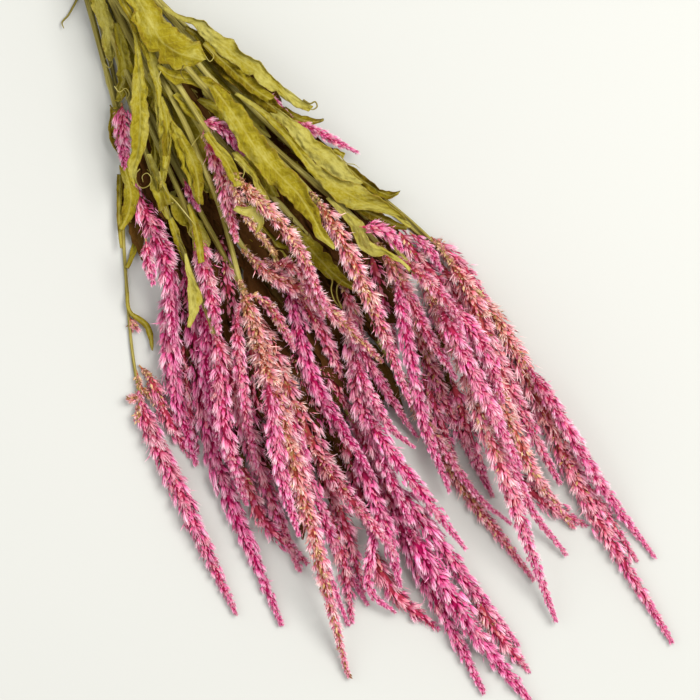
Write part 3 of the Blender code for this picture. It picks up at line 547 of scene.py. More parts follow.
def lay_head(pile, head, place, butt_x):
    """One stem with its plume and side plumes, as lines at their heights on the pile."""
    straight = [(x, place) for x in (-BAND_HALF_STRAIGHT, 0, BAND_HALF_STRAIGHT)]
    route = [(butt_x, BUTT_SPLAY * place)] + straight + head.route
    xy, along = curve_through(route + [head.base, head.mid, head.tip])
    start = nearest_point(xy, head.base)
    stem_radius = np.interp(along[:start + 1], [0, along[start]], [STEM_RADIUS, STEM_TIP_RADIUS])
    radius = np.concatenate([stem_radius[:-1], plume_radius(along[start:] - along[start], head.half)])
    floor = np.where(np.arange(len(xy)) < start, radius * 0.95, radius - PRESSED_FLAT * (radius > 3))
    floor[np.abs(xy[:, 0]) < 8] = STEM_RADIUS + BAND_CORD + BAND_CLEARANCE
    need = pile.height(xy, radius, floor)
    sides = []
    for half, *side_points in head.sides:
        root = max(start + 2, nearest_point(xy, side_points[0]) - JUNCTION_BEADS)
        side_xy, side_along = curve_through([xy[root]] + side_points)
        bare = np.interp(radius[root] + 4, np.hypot(*(side_xy - xy[root]).T), side_along)
        bare = min(float(bare), 0.3 * side_along[-1])
        side_radius = plume_radius(side_along, half, bare)
        side_need = pile.height(side_xy, side_radius, side_radius - PRESSED_FLAT * (side_radius > 3))
        need[root] = max(need[root], (side_need - STEEPEST * side_along).max())
        sides.append((root, side_xy, side_along, side_radius, side_need, bare))
    z = settle(along, need)
    own = Pile()
    own.add(xy[start:], z[start:], radius[start:])
    laid_sides = []
    for root, side_xy, side_along, side_radius, side_need, bare in sides:
        over_own = own.height(side_xy, side_radius, -1e9, (xy[root], JUNCTION_REACH))
        side_need = np.maximum(side_need, over_own)
        side_z = z[root] + (settle(side_along, side_need) - z[root]) * smooth_step(side_along / JUNCTION_EASE)
        side_z[1:] = np.maximum(side_z, side_need)[1:]
        own.add(side_xy, side_z, side_radius)
        laid_sides.append((Line(side_xy, side_z, side_along, side_radius), bare))
    for line, _ in laid_sides:
        pile.add(line.xy, line.z, line.radius)
    pile.add(xy, z, radius)
    stem = Line(xy[:start + 1], z[:start + 1], along[:start + 1], radius[:start + 1])
    plume = Line(xy[start:], z[start:], along[start:] - along[start], radius[start:])
    return stem, plume, laid_sides


def leaf_half(along, base_at, width):
    """A leaf's half width: a thin stalk, then a blade widest before its middle, with a pointed tip."""
    t = np.clip((along - base_at) / (along[-1] - base_at), 0, 1)
    blade = width / 2 * np.sin(math.pi * t**0.72) ** 0.85
    return np.maximum(blade, PETIOLE_HALF * np.clip(1.3 - t, 0.2, 1))


def across_line(xy):
    """The plan direction across a line at each point."""
    forward = np.gradient(xy, axis=0)
    return np.column_stack([-forward[:, 1], forward[:, 0]]) / np.linalg.norm(forward, axis=1)[:, None]


def lay_leaf(pile, leaf, stem):
    """One leaf from its stem: middle line, half widths and the drop of its edges, on the pile."""
    root = int(np.argmin(np.abs(stem.xy[:, 0] - leaf.leaves_at)))
    xy, along = curve_through([stem.xy[root], leaf.base, leaf.mid, leaf.tip], LEAF_STEP)
    half = leaf_half(along, float(along[nearest_point(xy, leaf.base)]), leaf.width)
    across = across_line(xy)
    drop = leaf.arch * half
    need = np.full(len(xy), LEAF_BEAD)
    strips = np.linspace(-1, 1, LEAF_STRIPS)
    for v in strips:
        strip = xy + across * (half * v)[:, None]
        under = pile.height(strip, LEAF_BEAD, LEAF_BEAD, (stem.xy[root], AXIL_REACH))
        need = np.maximum(need, under + drop * abs(v))
    blend = np.clip(along / AXIL_REACH, 0, 1)
    z = settle(along, need) * blend + stem.z[root] * (1 - blend)
    z[2:] = np.maximum(z, need)[2:]
    for v in strips:
        pile.add(xy + across * (half * v)[:, None], z - drop * abs(v), LEAF_BEAD)
    return Line(xy, z, along, half), across, drop


def lay_sprig(pile, sprig):
    xy, along = curve_through([sprig.base, sprig.mid, sprig.tip])
    radius = plume_radius(along, sprig.half)
    z = settle(along, pile.height(xy, radius, radius))
    pile.add(xy, z, radius)
    return Line(xy, z, along, radius)


def lay_bunch():
    """Every piece in its place, in the order of the pile."""
    pile = Pile()
    places = bundle_places()
    spread = random.Random(11)
    heads, leaves, sprigs = {}, {}, {}
    for head in HEADS:
        butt_x = BUTT_X + spread.uniform(-BUTT_SPREAD, BUTT_SPREAD)
        heads[head.name] = lay_head(pile, head, places[head.name], butt_x)
        stem = heads[head.name][0]
        leaves[head.name] = [lay_leaf(pile, leaf, stem) for leaf in LEAVES if leaf.stem == head.name]
        for sprig in SPRIGS:
            if sprig.after == head.name:
                sprigs[sprig.name] = lay_sprig(pile, sprig)
    return heads, leaves, sprigs, pile


# --- Closed shells as arrays ---------------------------------------------------------------------

class Shape:
    """Closed shells gathered as arrays. Lengths are in mm.

    look is (t along the shell, tone, age, kind) on a spike, and (t, tone, distance from the midrib, old) on a
    leaf; old paints a leaf dark brown, partly painted shade. kind tells a spike's stalk, bracts, core, short
    scales, tepals and hairs apart, and paints the core and short scales darker as painted shade.
    """

    def __init__(self):
        self.points, self.faces, self.look, self.grain, self.finish = [], [], [], [], []
        self.count = 0

    def add(self, points, faces, look, grain, finish=0):
        self.points.append(points)
        self.faces.append(faces + self.count)
        self.look.append(look)
        self.grain.append(grain)
        self.finish.append(np.full(len(faces), finish))
        self.count += len(points)

    def add_copies(self, points, pattern, look, grain):
        """points is (shells, corners, 3); every shell has the same pattern of triangles."""
        shells, corners = points.shape[:2]
        faces = (np.arange(shells)[:, None, None] * corners + pattern[None]).reshape(-1, 3)
        self.add(points.reshape(-1, 3), faces, look.reshape(-1, 4), grain.reshape(-1, 3))

    def object(self, name, materials):
        points = np.vstack(self.points)
        points[:, 2] = LOWEST + SOFT_FLOOR * np.logaddexp(0, (points[:, 2] - LOWEST) / SOFT_FLOOR)
        points = points * MM + SHIFT
        faces = np.vstack(self.faces)
        mesh = bpy.data.meshes.new(name)
        mesh.vertices.add(len(points))
        mesh.vertices.foreach_set("co", points.astype(np.float32).ravel())
        mesh.loops.add(faces.size)
        mesh.loops.foreach_set("vertex_index", faces.astype(np.int32).ravel())
        mesh.polygons.add(len(faces))
        mesh.polygons.foreach_set("loop_start", np.arange(0, faces.size, 3, dtype=np.int32))
        mesh.polygons.foreach_set("material_index", np.concatenate(self.finish).astype(np.int32))
        mesh.update(calc_edges=True)
        # the fine scales look soft only with flat faces
        if materials[0] is FLORET:
            mesh.shade_flat()
        else:
            mesh.shade_smooth()
        for attribute, kind, field, values in (("look", "FLOAT_COLOR", "color", self.look),
                                               ("grain", "FLOAT_VECTOR", "vector", self.grain)):
            data = mesh.attributes.new(attribute, kind, "POINT").data
            data.foreach_set(field, np.vstack(values).astype(np.float32).ravel())
        for material in materials:
            mesh.materials.append(material)
        obj = bpy.data.objects.new(name, mesh)
        bpy.context.scene.collection.objects.link(obj)
        return obj


def unit(v):
    return v / np.maximum(np.linalg.norm(v, axis=-1, keepdims=True), 1e-9)


def square_to(v, axis):
    """The direction of v without its part along the axis."""
    return unit(v - axis * (v * axis).sum(-1, keepdims=True))


def outward_faces(points, faces):
    """Turns the faces of one closed shell round if they look inward."""
    a, b, c = (points[faces[:, i]] for i in range(3))
    volume = np.einsum("ij,ij->i", a, np.cross(b, c)).sum()
    return faces if volume > 0 else faces[:, ::-1]


def along_line(line, s):
    """Places, forward, sideways and upward directions at lengths s of a line."""
    table = np.column_stack([line.xy, line.z])
    end = float(line.along[-1])
    near = np.clip(s, 0, end)
    forward = unit(sample(np.minimum(near + 2, end), line.along, table)
                   - sample(np.maximum(near - 2, 0), line.along, table))
    aside = unit(np.cross(forward, (0, 0, 1)))
    beyond = np.maximum(0, s - end) + np.minimum(0, s)
    return sample(s, line.along, table) + forward * beyond[:, None], forward, aside, np.cross(aside, forward)


def ring_pattern(rings, sides):
    """Triangles of a tube of rings; its ends close at a point of their own, before and after the rings."""
    faces = []
    for r in range(rings - 1):
        for j in range(sides):
            n = (j + 1) % sides
            a, b = 1 + r * sides, 1 + (r + 1) * sides
            faces += [(a + j, a + n, b + n), (a + j, b + n, b + j)]
    last = 1 + (rings - 1) * sides
    for j in range(sides):
        n = (j + 1) % sides
        faces += [(0, 1 + n, 1 + j), (last + j, last + n, last + sides)]
    return np.array(faces)


def tube(shape, centre, aside, up, radius, look, turn=0.0):
    """A closed tube through the centres; radius gives each side's own at each centre."""
    rings, sides = radius.shape
    angle = turn + np.arange(sides) * 2 * math.pi / sides
    away = (aside[:, None] * np.cos(angle)[None, :, None] + up[:, None] * np.sin(angle)[None, :, None])
    around = centre[:, None] + away * radius[:, :, None]
    points = np.vstack([centre[:1], around.reshape(-1, 3), centre[-1:]])
    length = lengths(centre)
    looks = np.vstack([look[:1], np.repeat(look, sides, axis=0), look[-1:]])
    girth = np.tile(np.arange(sides) / sides * 2 * math.pi * float(radius.mean()), rings)
    grain = np.column_stack([np.concatenate([[0], girth, [0]]),
                             np.concatenate([[0], np.repeat(length, sides), length[-1:]]),
                             np.full(len(points), float(centre[0, 0] % 7))])
    shape.add(points, ring_pattern(rings, sides), looks, grain)


# --- Plumes --------------------------------------------------------------------------------------

KEELED = ring_pattern(1, 3)
THIN = np.array([(0, 1, 3), (0, 3, 2), (0, 2, 1), (1, 2, 3)])


def scales(shape, base, forward, outward, length, half, bend, widest, tone, age, kind, keel):
    """Narrow pointed scales, bent outward or inward: closed boats with a keel, or thin ones without."""
    def middle(t):
        return base + forward * (length * t)[:, None] + outward * (length * bend * t * t / 2)[:, None]
    aside = np.cross(outward, forward) * half[:, None]
    crest = (outward - forward * (bend * widest)[:, None]) * (half * keel)[:, None]
    sides = (1, 0, -1) if keel else (1, -1)
    ring = [middle(widest) + (aside * side if side else crest) for side in sides]
    points = np.stack([middle(0), *ring, middle(1)], axis=1)
    t = np.array([0, *[widest] * len(sides), 1])
    grain = np.broadcast_arrays(half[:, None] * (0, *sides, 0), length[:, None] * t, tone[:, None] * 50)
    look = np.broadcast_arrays(t, tone[:, None], age[:, None], np.reshape(kind, (-1, 1)))
    shape.add_copies(points, KEELED if keel else THIN, np.stack(look, axis=2), np.stack(grain, axis=2))


class Spike:
    """One spike: its line, how far its florets have opened along it, and its own random draws."""

    def __init__(self, shape, line, bare, ages, seed, density, back):
        self.shape, self.line, self.ages, self.density = shape, line, ages, density
        self.rng = np.random.default_rng(seed)
        self.length = float(line.along[-1])
        self.bare, self.begin = bare, bare - back
        # places spaced by the spike's thickness
        self.fine = np.linspace(self.begin, self.length, 400)
        thin = (USUAL_HALF / np.maximum(self.outer(self.fine), 2.2)) ** 0.7
        crowd = np.cumsum(thin * (1 - 0.3 * self.age_at(self.fine)))
        self.weight = float(crowd[-1]) * (self.length - self.begin) / len(self.fine)
        self.crowd = (crowd - crowd[0]) / (crowd[-1] - crowd[0])

    def outer(self, s):
        return np.interp(s, self.line.along, self.line.radius)

    def age_at(self, s):
        t = np.clip((s - self.begin) / (self.length - self.begin), 0, 1)
        return np.interp(t, np.linspace(0, 1, len(self.ages)), self.ages)

    def spread(self, per_mm):
        """Lengths and angles of so many things to a millimetre, along a spiral."""
        count = max(6, int(per_mm * self.weight))
        places = (np.arange(count) + self.rng.uniform(0, 1, count)) / count
        angle = np.arange(count) * GOLDEN_ANGLE + self.rng.normal(0, 0.25, count)
        return count, np.interp(places, self.crowd, self.fine), angle

    def set_on(self, s, angle, lean):
        place, forward, aside, up = along_line(self.line, s)
        away = up * np.cos(angle)[:, None] + aside * np.sin(angle)[:, None]
        direction = forward * np.cos(lean)[:, None] + away * np.sin(lean)[:, None]
        return place, away, direction, np.cross(forward, away)

    def core(self):
        """The core, painted dark as the shade deep inside the spike, from just inside the spike's start to
        just short of its tip.
        """
        s = np.arange(-3.0, self.length - 1.0, CORE_STEP)
        centre, _, aside, up = along_line(self.line, s)
        stalk = s < self.bare
        age = self.age_at(s)
        body = np.where(stalk, 1.0, np.maximum(CORE_SHARE * self.outer(s) * (1 - 0.3 * age), THINNEST_CORE))
        body[0] = body[-1] = 0.5
        # kind 0.35 gives the core most of the painted inner shade of the floret material
        look = np.column_stack([np.where(stalk, 0.5, 0), np.full(len(s), 0.4), age, np.where(stalk, 0, 0.35)])
        uneven = self.rng.uniform(0.85, 1.15, (len(s), CORE_SIDES))
        tube(self.shape, centre, aside, up, body[:, None] * uneven, look)

    def clusters(self, shade):
        """Clusters of florets. Old ones on top are made older and paler, a painted highlight along the top,
        and part to show what is under them.
        """
        rng = self.rng
        count, at, turn_at = self.spread(CLUSTERS * self.density)
        # painted highlight: clusters facing up are made older and paler than those at the sides
        paler_on_top = np.interp(np.cos(turn_at), [0.2, 0.9], [0.65, 1.25])
        old = np.clip((self.age_at(at) + rng.normal(0, 0.1, count)) * paler_on_top, 0, 1)
        slim = np.clip(self.outer(at) / USUAL_HALF, 0.2, 1.1)
        steep = np.radians(np.interp(old, [0, 1], LEAN_DEGREES)) * np.interp(slim, [0.25, 1], [0.8, 1.0])
        steep = steep + rng.normal(0, 0.12, count)
        # shade shifts the tone of the spike's clusters: painted light
        tone = np.clip(rng.uniform(0, 1, count) + rng.uniform(-0.2, 0.2) + shade, 0, 1)
        vigour = rng.uniform(0.82, 1.14, count)
        parted = (np.cos(turn_at) > 0.8) & (old + rng.normal(0, 0.12, count) > 0.55)
        vigour = np.where(parted, 0.5 * vigour, vigour)
        # clusters along the top of the spike get kind 0.7, which paints them a little darker with the painted
        # inner shade
        kind = np.where(np.cos(turn_at + rng.normal(0, 0.15, count)) > 0.86, 0.7, 1.0)
        for floret in range(FLORETS):
            s = at + (floret - 1) * FLORET_GAP * slim + rng.normal(0, 0.4, count) * slim
            angle = turn_at + rng.normal(0, 0.3, count) * np.interp(old, [0, 1], SWAY)
            lean = steep + rng.normal(0, 0.12, count)
            floret_tone = 0.5 * tone + 0.5 * rng.uniform(0, 1, count)
            self.floret(s, angle, lean, old, floret_tone, vigour, kind)

    def floret(self, s, angle, lean, old, floret_tone, vigour, kind):
        """One floret of each cluster: a ring of long pointed tepals."""
        rng, count, reach = self.rng, len(s), self.outer(s)
        open_by = np.radians(np.interp(old, [0, 1], OPEN_DEGREES))
        place, away, direction, tangent = self.set_on(s, angle, lean)
        out = unit(np.cross(tangent, direction))
        out = np.where((out * away).sum(-1, keepdims=True) < 0, -out, out)
        below = away[:, 2] < 0.05
        for k in range(TEPALS):
            turn = 2 * math.pi * (k + rng.uniform(-0.35, 0.35, count)) / TEPALS
            face = out * np.cos(turn)[:, None] + tangent * np.sin(turn)[:, None]
            spread_by = open_by * rng.uniform(0.5, 1.5, count)
            forward = unit(direction * np.cos(spread_by)[:, None] + face * np.sin(spread_by)[:, None])
            outward = square_to(face, forward)
            size = np.clip(TEPAL_LENGTH * reach, *TEPAL_LIMITS) * vigour * rng.uniform(0.72, 1.08, count)
            foot = np.maximum(0.12 * reach, 1.1 * reach - size * np.sin(lean + 0.4 * open_by))
            base = place + away * foot[:, None] - direction * (0.12 * size)[:, None]
            half = size * np.interp(old, [0, 1], TEPAL_SLIMNESS) * rng.uniform(0.75, 1.2, count)
            bend = np.interp(old, [0, 1], TEPAL_BEND) + rng.normal(0, 0.16, count)
            tone = np.clip(0.7 * floret_tone + 0.3 * rng.uniform(0, 1, count), 0, 1)
            for chosen, keel in ((~below, TEPAL_KEEL), (below & (k < TEPALS_BELOW), 0)):
                some = [v[chosen] for v in (base, forward, outward, size, half, bend)]
                scales(self.shape, *some, 0.5, tone[chosen], old[chosen], kind[chosen], keel)

    def strew(self, loose, s, angle, age, size):
        """Sets loose scales on the spike at lengths s."""
        rng, count, reach = self.rng, len(s), self.outer(s)
        lean = np.radians(rng.uniform(*loose.leans, count))
        place, away, direction, tangent = self.set_on(s, angle, lean)
        direction = unit(direction + tangent * rng.normal(0, loose.skew, count)[:, None])
        size = size * rng.uniform(*loose.sizes, count)
        foot = np.maximum(loose.foot * reach, 0.82 * reach - size * np.sin(lean))
        foot *= rng.uniform(*loose.feet, count)
        half = size * rng.uniform(*loose.slimness, count) if loose.slimness else np.full(count, HAIR_HALF)
        bend, tone = rng.normal(0, loose.bend, count), rng.uniform(*loose.tones, count)
        scales(self.shape, place + away * foot[:, None], direction, square_to(away, direction), size, half,
               bend, loose.widest, tone, age, loose.kind, loose.keel)

    def fillers(self):
        """Short scales that fill the spaces, painted darker as the shade inside the spike."""
        count, s, angle = self.spread(FILLER.per_mm * self.density)
        age = np.clip(self.age_at(s) + self.rng.normal(0, 0.15, count), 0, 1)
        self.strew(FILLER, s, angle, age, np.clip(0.72 * self.outer(s), 2.0, 5.8))

    def bracts(self):
        """Golden bracts and dried seeds where the florets have opened."""
        count, s, angle = self.spread(BRACT.per_mm)
        angle = np.where(self.rng.uniform(0, 1, count) < 0.9, self.rng.normal(0, 0.3, count), angle)
        keep = self.rng.uniform(0, 1, count) < np.clip(self.age_at(s) * 2.0 - 0.8, 0, 1)
        if keep.any():
            self.strew(BRACT, s[keep], angle[keep], np.ones(keep.sum()), 1.0)

    def hairs(self):
        _, s, angle = self.spread(HAIR.per_mm)
        self.strew(HAIR, s, angle, self.age_at(s), np.clip(self.outer(s), 2.5, 8))


def spike(shape, line, bare, ages, seed, density=1.0, back=0.0, shade=USUAL_PAINTED_LIGHT):
    """Grows one spike. Its florets start so far back from the end of its bare stalk."""
    one = Spike(shape, line, bare, ages, seed, density, back)
    one.core()
    one.clusters(shade)
    one.fillers()
    one.bracts()
    one.hairs()


# --- Stems and leaves ----------------------------------------------------------------------------

def stem(shape, line, seed, leaves_at, thin):
    """A ribbed stem with swollen joints, cut square across its pith at the butt end."""
    rng = np.random.default_rng(seed)
    length = float(line.along[-1])
    s = np.concatenate([[0, 0, 0, 0.25], np.arange(4.0, length + 4, 4.0)])
    centre, _, aside, up = along_line(line, s)
    centre[0] += (centre[4] - centre[0]) * 0.12
    knots = np.arange(0, length + 40, 20)
    wander = np.interp(s, knots, rng.uniform(-0.06, 0.06, len(knots)))
    swell = sum(0.28 * np.exp(-((s - at) / 3.0) ** 2) for at in leaves_at)
    radius = np.interp(s, line.along, line.radius) * 0.97 * (1 + wander + swell)
    radius *= np.interp(s, [100, 220], [1, thin])
    radius[:4] *= (0.2, 0.55, 0.92, 1.0)
    radius[-1] = 0.6
    sides = 12
    ribs = 1 + 0.085 * np.cos(np.arange(sides) * math.pi) + rng.uniform(-0.015, 0.015, (len(s), sides))
    ribs[:3] = 1.0
    knots = np.arange(0, length + 30, 15)
    tone = np.interp(s, knots, rng.uniform(0, 1, len(knots)))
    bark = np.concatenate([[0, 0, 0.5], np.ones(len(s) - 3)])
    look = np.column_stack([s / length, tone, np.zeros(len(s)), bark])
    tube(shape, centre, aside, up, radius[:, None] * ribs, look, rng.uniform(0, 3))


def waves(rng, x, longest, shortest, terms=5):
    """A smooth random curve between about -1 and 1."""
    total = np.zeros_like(x, dtype=float)
    for k in range(terms):
        period = longest * (shortest / longest) ** (k / max(1, terms - 1))
        total += np.sin(2 * math.pi * (x / period) + rng.uniform(0, 2 * math.pi)) * (period / longest) ** 0.5
    return total / terms ** 0.5


def torn_rim(rng, s, blade):
    """How far out one edge of a leaf reaches along it: waved, with a few tears."""
    rim = 1 + 0.16 * waves(rng, s, *RIM_WAVE) * blade
    for _ in range(rng.integers(0, 4)):
        deep = rng.uniform(0.2, 0.45)
        rim -= deep * np.exp(-((s - rng.uniform(0.2, 0.95) * s[-1]) / rng.uniform(1.0, 3.0)) ** 2) * blade
    return rim


def two_sided(shape, middle, thick, look, grain):
    """Closes a grid of points into a shell of this half thickness."""
    rows, columns = middle.shape[:2]
    normal = unit(np.cross(np.gradient(middle, axis=0), np.gradient(middle, axis=1))) * thick
    points = np.vstack([(middle + normal).reshape(-1, 3), (middle - normal).reshape(-1, 3)])
    index = np.arange(rows * columns).reshape(rows, columns)
    corners = ((0, 0), (0, 1), (1, 1), (1, 0))
    a, b, c, d = (index[i:rows - 1 + i, j:columns - 1 + j].ravel() for i, j in corners)
    upper = np.vstack([np.column_stack([a, b, c]), np.column_stack([a, c, d])])
    lower = upper[:, ::-1] + rows * columns
    border = np.concatenate([index[0, :], index[1:, -1], index[-1, -2::-1], index[-2:0:-1, 0]])
    after = np.roll(border, -1)
    rim = np.vstack([np.column_stack([border, border + rows * columns, after + rows * columns]),
                     np.column_stack([border, after + rows * columns, after])])
    faces = outward_faces(points, np.vstack([upper, lower, rim]))
    look, grain = (np.tile(values.reshape(rows * columns, -1), (2, 1)) for values in (look, grain))
    shape.add(points, faces, look, grain, 1)


def relief(rng, along, v, w, half, blade, drop, crumple):
    """Height over the middle line: the fall to the edges, ripples, pleats, arched fields, midrib, creases."""
    reach = np.abs(v)
    full = np.minimum(half, 7.5) * blade * crumple
    ripple = np.where(v < 0, waves(rng, along, *RIPPLE_WAVE), waves(rng, along, *RIPPLE_WAVE))
    lift = full * (0.34 * ripple + 0.16) * reach ** 1.7 - drop * reach
    pleat = v * rng.uniform(2.5, 5.0) + rng.uniform(0, 6) + 1.2 * waves(rng, along, *PLEAT_WAVE)
    lift += full * 0.13 * np.sin(pleat)
    ridge = 0.62 + 0.45 * waves(rng, along, *FIELD_WAVE) * crumple
    field = np.abs(np.sin(math.pi * (along - VEIN_SLANT * np.abs(w)) / VEIN_STEP)) - 0.6
    lift += blade * ridge * field * np.sin(math.pi * reach) ** 0.6
    lift -= blade * 0.7 * np.exp(-(w / 0.9) ** 2)
    creases = waves(rng, along + 0.6 * w, *CREASE_WAVE)
    creases = creases * waves(rng, 1.3 * w - 0.4 * along, *CROSS_CREASE_WAVE)
    return lift + crumple * blade * 1.1 * creases


def rolled_in(rng, along, v, w, lift, half, blade):
    """Rolls each edge in by its own amount."""
    roll = np.where(v < 0, rng.uniform(-0.3, 1.0), rng.uniform(-0.3, 1.0))
    roll = np.clip(roll * (0.6 + 0.6 * waves(rng, along, *ROLL_WAVE)), 0, 1)
    outer = np.clip((np.abs(v) - 0.5) / 0.5, 0, 1) ** 1.5 * blade
    return w * (1 - 0.35 * roll * outer), lift + roll * outer * half * 0.5


def twisted(rng, along, t, w, lift, blade, turn):
    """Turns the blade about its midrib, most towards its tip."""
    wring = 0.25 * waves(rng, along, *TWIST_WAVE) * blade
    twist = turn * (wring + rng.normal(0, 0.6) * np.clip((t - 0.6) / 0.4, 0, 1) ** 1.5)
    return w * np.cos(twist) - lift * np.sin(twist), w * np.sin(twist) + lift * np.cos(twist)


def leaf(shape, line, across, drop, seed, crumple=1.0, turn=1.0, old=0.0, fine=1.0, tone=None):
    """A dried blade with torn and rolled edges, a sunken midrib, a twist and a curled tip."""
    rng = np.random.default_rng(seed)
    length = float(line.along[-1])
    rows, columns = max(12, int(fine * length / LEAF_ROW)), 2 * int(4 + 5 * fine) + 1
    s = np.linspace(0, length, rows)
    along = s[:, None]
    t = along / length
    v = np.linspace(-1, 1, columns)
    v = (np.sign(v) * np.abs(v) ** 0.85)[None, :]
    side = unit(np.column_stack([sample(s, line.along, across), np.zeros(rows)]))
    forward = np.cross(side, (0, 0, 1))
    half = np.interp(s, line.along, line.radius)
    blade = np.clip((half - 1.0) / 2.0, 0, 1)
    low_rim, high_rim = torn_rim(rng, s, blade), torn_rim(rng, s, blade)
    half, blade = half[:, None], blade[:, None]
    w = half * v * np.where(v < 0, low_rim[:, None], high_rim[:, None])
    lift = relief(rng, along, v, w, half, blade, np.interp(s, line.along, drop)[:, None], crumple)
    w, lift = rolled_in(rng, along, v, w, lift, half, blade)
    w, lift = twisted(rng, along, t, w, lift, blade, turn)

    # the middle line, with its tip curled up
    curl = abs(turn) * rng.choice([0.0, 0.6, 1.6, 3.2]) * np.clip((t - 0.82) / 0.18, 0, 1) ** 1.3
    step = np.diff(s, prepend=0)[:, None]
    centre = sample(s, line.along, np.column_stack([line.xy, line.z]))
    centre = centre + forward * np.cumsum((np.cos(curl) - 1) * step, axis=0)
    centre[:, 2:] += np.cumsum(np.sin(curl) * step, axis=0)
    up = np.array([0, 0, 1]) * np.cos(curl) - forward * np.sin(curl)
    middle = centre[:, None] + side[:, None] * w[..., None] + up[:, None] * lift[..., None]
    tone = rng.uniform(0, 1) if tone is None else tone
    look = np.stack(np.broadcast_arrays(t, tone, np.abs(v), old), axis=2)
    grain = np.stack(np.broadcast_arrays(half * v, along, rng.uniform(0, 500)), axis=2)
    two_sided(shape, middle, np.interp(half, [0.5, 2.5], HALF_THICK)[..., None], look, grain)


def low_leaf(width, points, height):
    """The line of a leaf that lies low among the stems."""
    xy, along = curve_through(points, LEAF_STEP)
    half = leaf_half(along, 0.08 * along[-1], width)
    return Line(xy, np.full(len(xy), float(height)), along, half), across_line(xy), 0.1 * half


def smoothed(rows, reach):
    """The mean of each row and this many rows before and after it."""
    padded = np.pad(rows, [(reach, reach)] + [(0, 0)] * (rows.ndim - 1), mode="edge")
    return sum(padded[k:k + len(rows)] for k in range(2 * reach + 1)) / (2 * reach + 1)


def between_edges(low_edge, high_edge, under, height=None):
    """The line of a blade from its two edges. It lies as high as the line under it, or on the pile."""
    edges = []
    for edge in (low_edge, high_edge):
        edge = np.reshape(edge, (-1, 2)).astype(float)
        steps = np.linspace(0, len(low_edge) // 2 - 1, 5 * len(low_edge))
        edges.append(smoothed(sample(steps, range(len(edge)), edge), 3))
    xy = (edges[0] + edges[1]) / 2
    gap = edges[1] - edges[0]
    half = np.linalg.norm(gap, axis=1) / 2
    if height is None:
        z = under.z[np.argmin(((xy[:, None] - under.xy[None]) ** 2).sum(-1), axis=1)]
    else:
        z = np.minimum(under.height(xy, 1.0, 1.0), height)
    line = Line(xy, smoothed(z, 8), lengths(xy), np.maximum(half, 0.5))
    return line, gap / np.maximum(2 * half, 1e-6)[:, None], 0.22 * half


def thread(shape, points, radius, share, tone, seed):
    """A thin curled stalk or fibre that lies on the pile."""
    rng = np.random.default_rng(seed)
    xy, along = curve_through(np.reshape(points, (-1, 2)), 0.8)
    z = share * settle(along, pile.height(xy, radius, radius)) + 1.2 * (1 + waves(rng, along, 30, 8))
    centre = np.column_stack([xy, z])
    forward = unit(np.gradient(centre, axis=0))
    aside = unit(np.cross(forward, (0, 0, 1)))
    taper = np.interp(along / along[-1], [0, 0.7, 1], [1, 0.8, 0.35]) * radius
    look = np.tile((0.5, tone, 0.0, 1.0), (len(xy), 1))
    tube(shape, centre, aside, np.cross(aside, forward), np.tile(taper[:, None], (1, 5)), look)


# --- The band ------------------------------------------------------------------------------------

def band_outline(stems, reach, sides=32):
    """The outline across the bundle, this far outside the stems, as Y and Z points."""
    half = BAND_CORD * BAND_TURNS / 2
    circles = [(np.interp(x, stem.xy[:, 0], stem.xy[:, 1]), np.interp(x, stem.xy[:, 0], stem.z))
               for stem in stems for x in (-half, 0, half)]
    middle_y, middle_z = (sum(c[i] for c in circles) / len(circles) for i in range(2))
    turns = [2 * math.pi * i / 720 for i in range(720)]
    support = [(t, max((y - middle_y) * math.cos(t) + (z - middle_z) * math.sin(t) for y, z in circles)
                + STEM_RADIUS + reach) for t in turns]
    outline = []
    for i in range(sides):
        angle = 2 * math.pi * (i + 0.5) / sides
        away = min(far / math.cos(t - angle) for t, far in support if math.cos(t - angle) > 0.2)
        outline.append((middle_y + away * math.cos(angle), middle_z + away * math.sin(angle)))
    return np.array(outline)


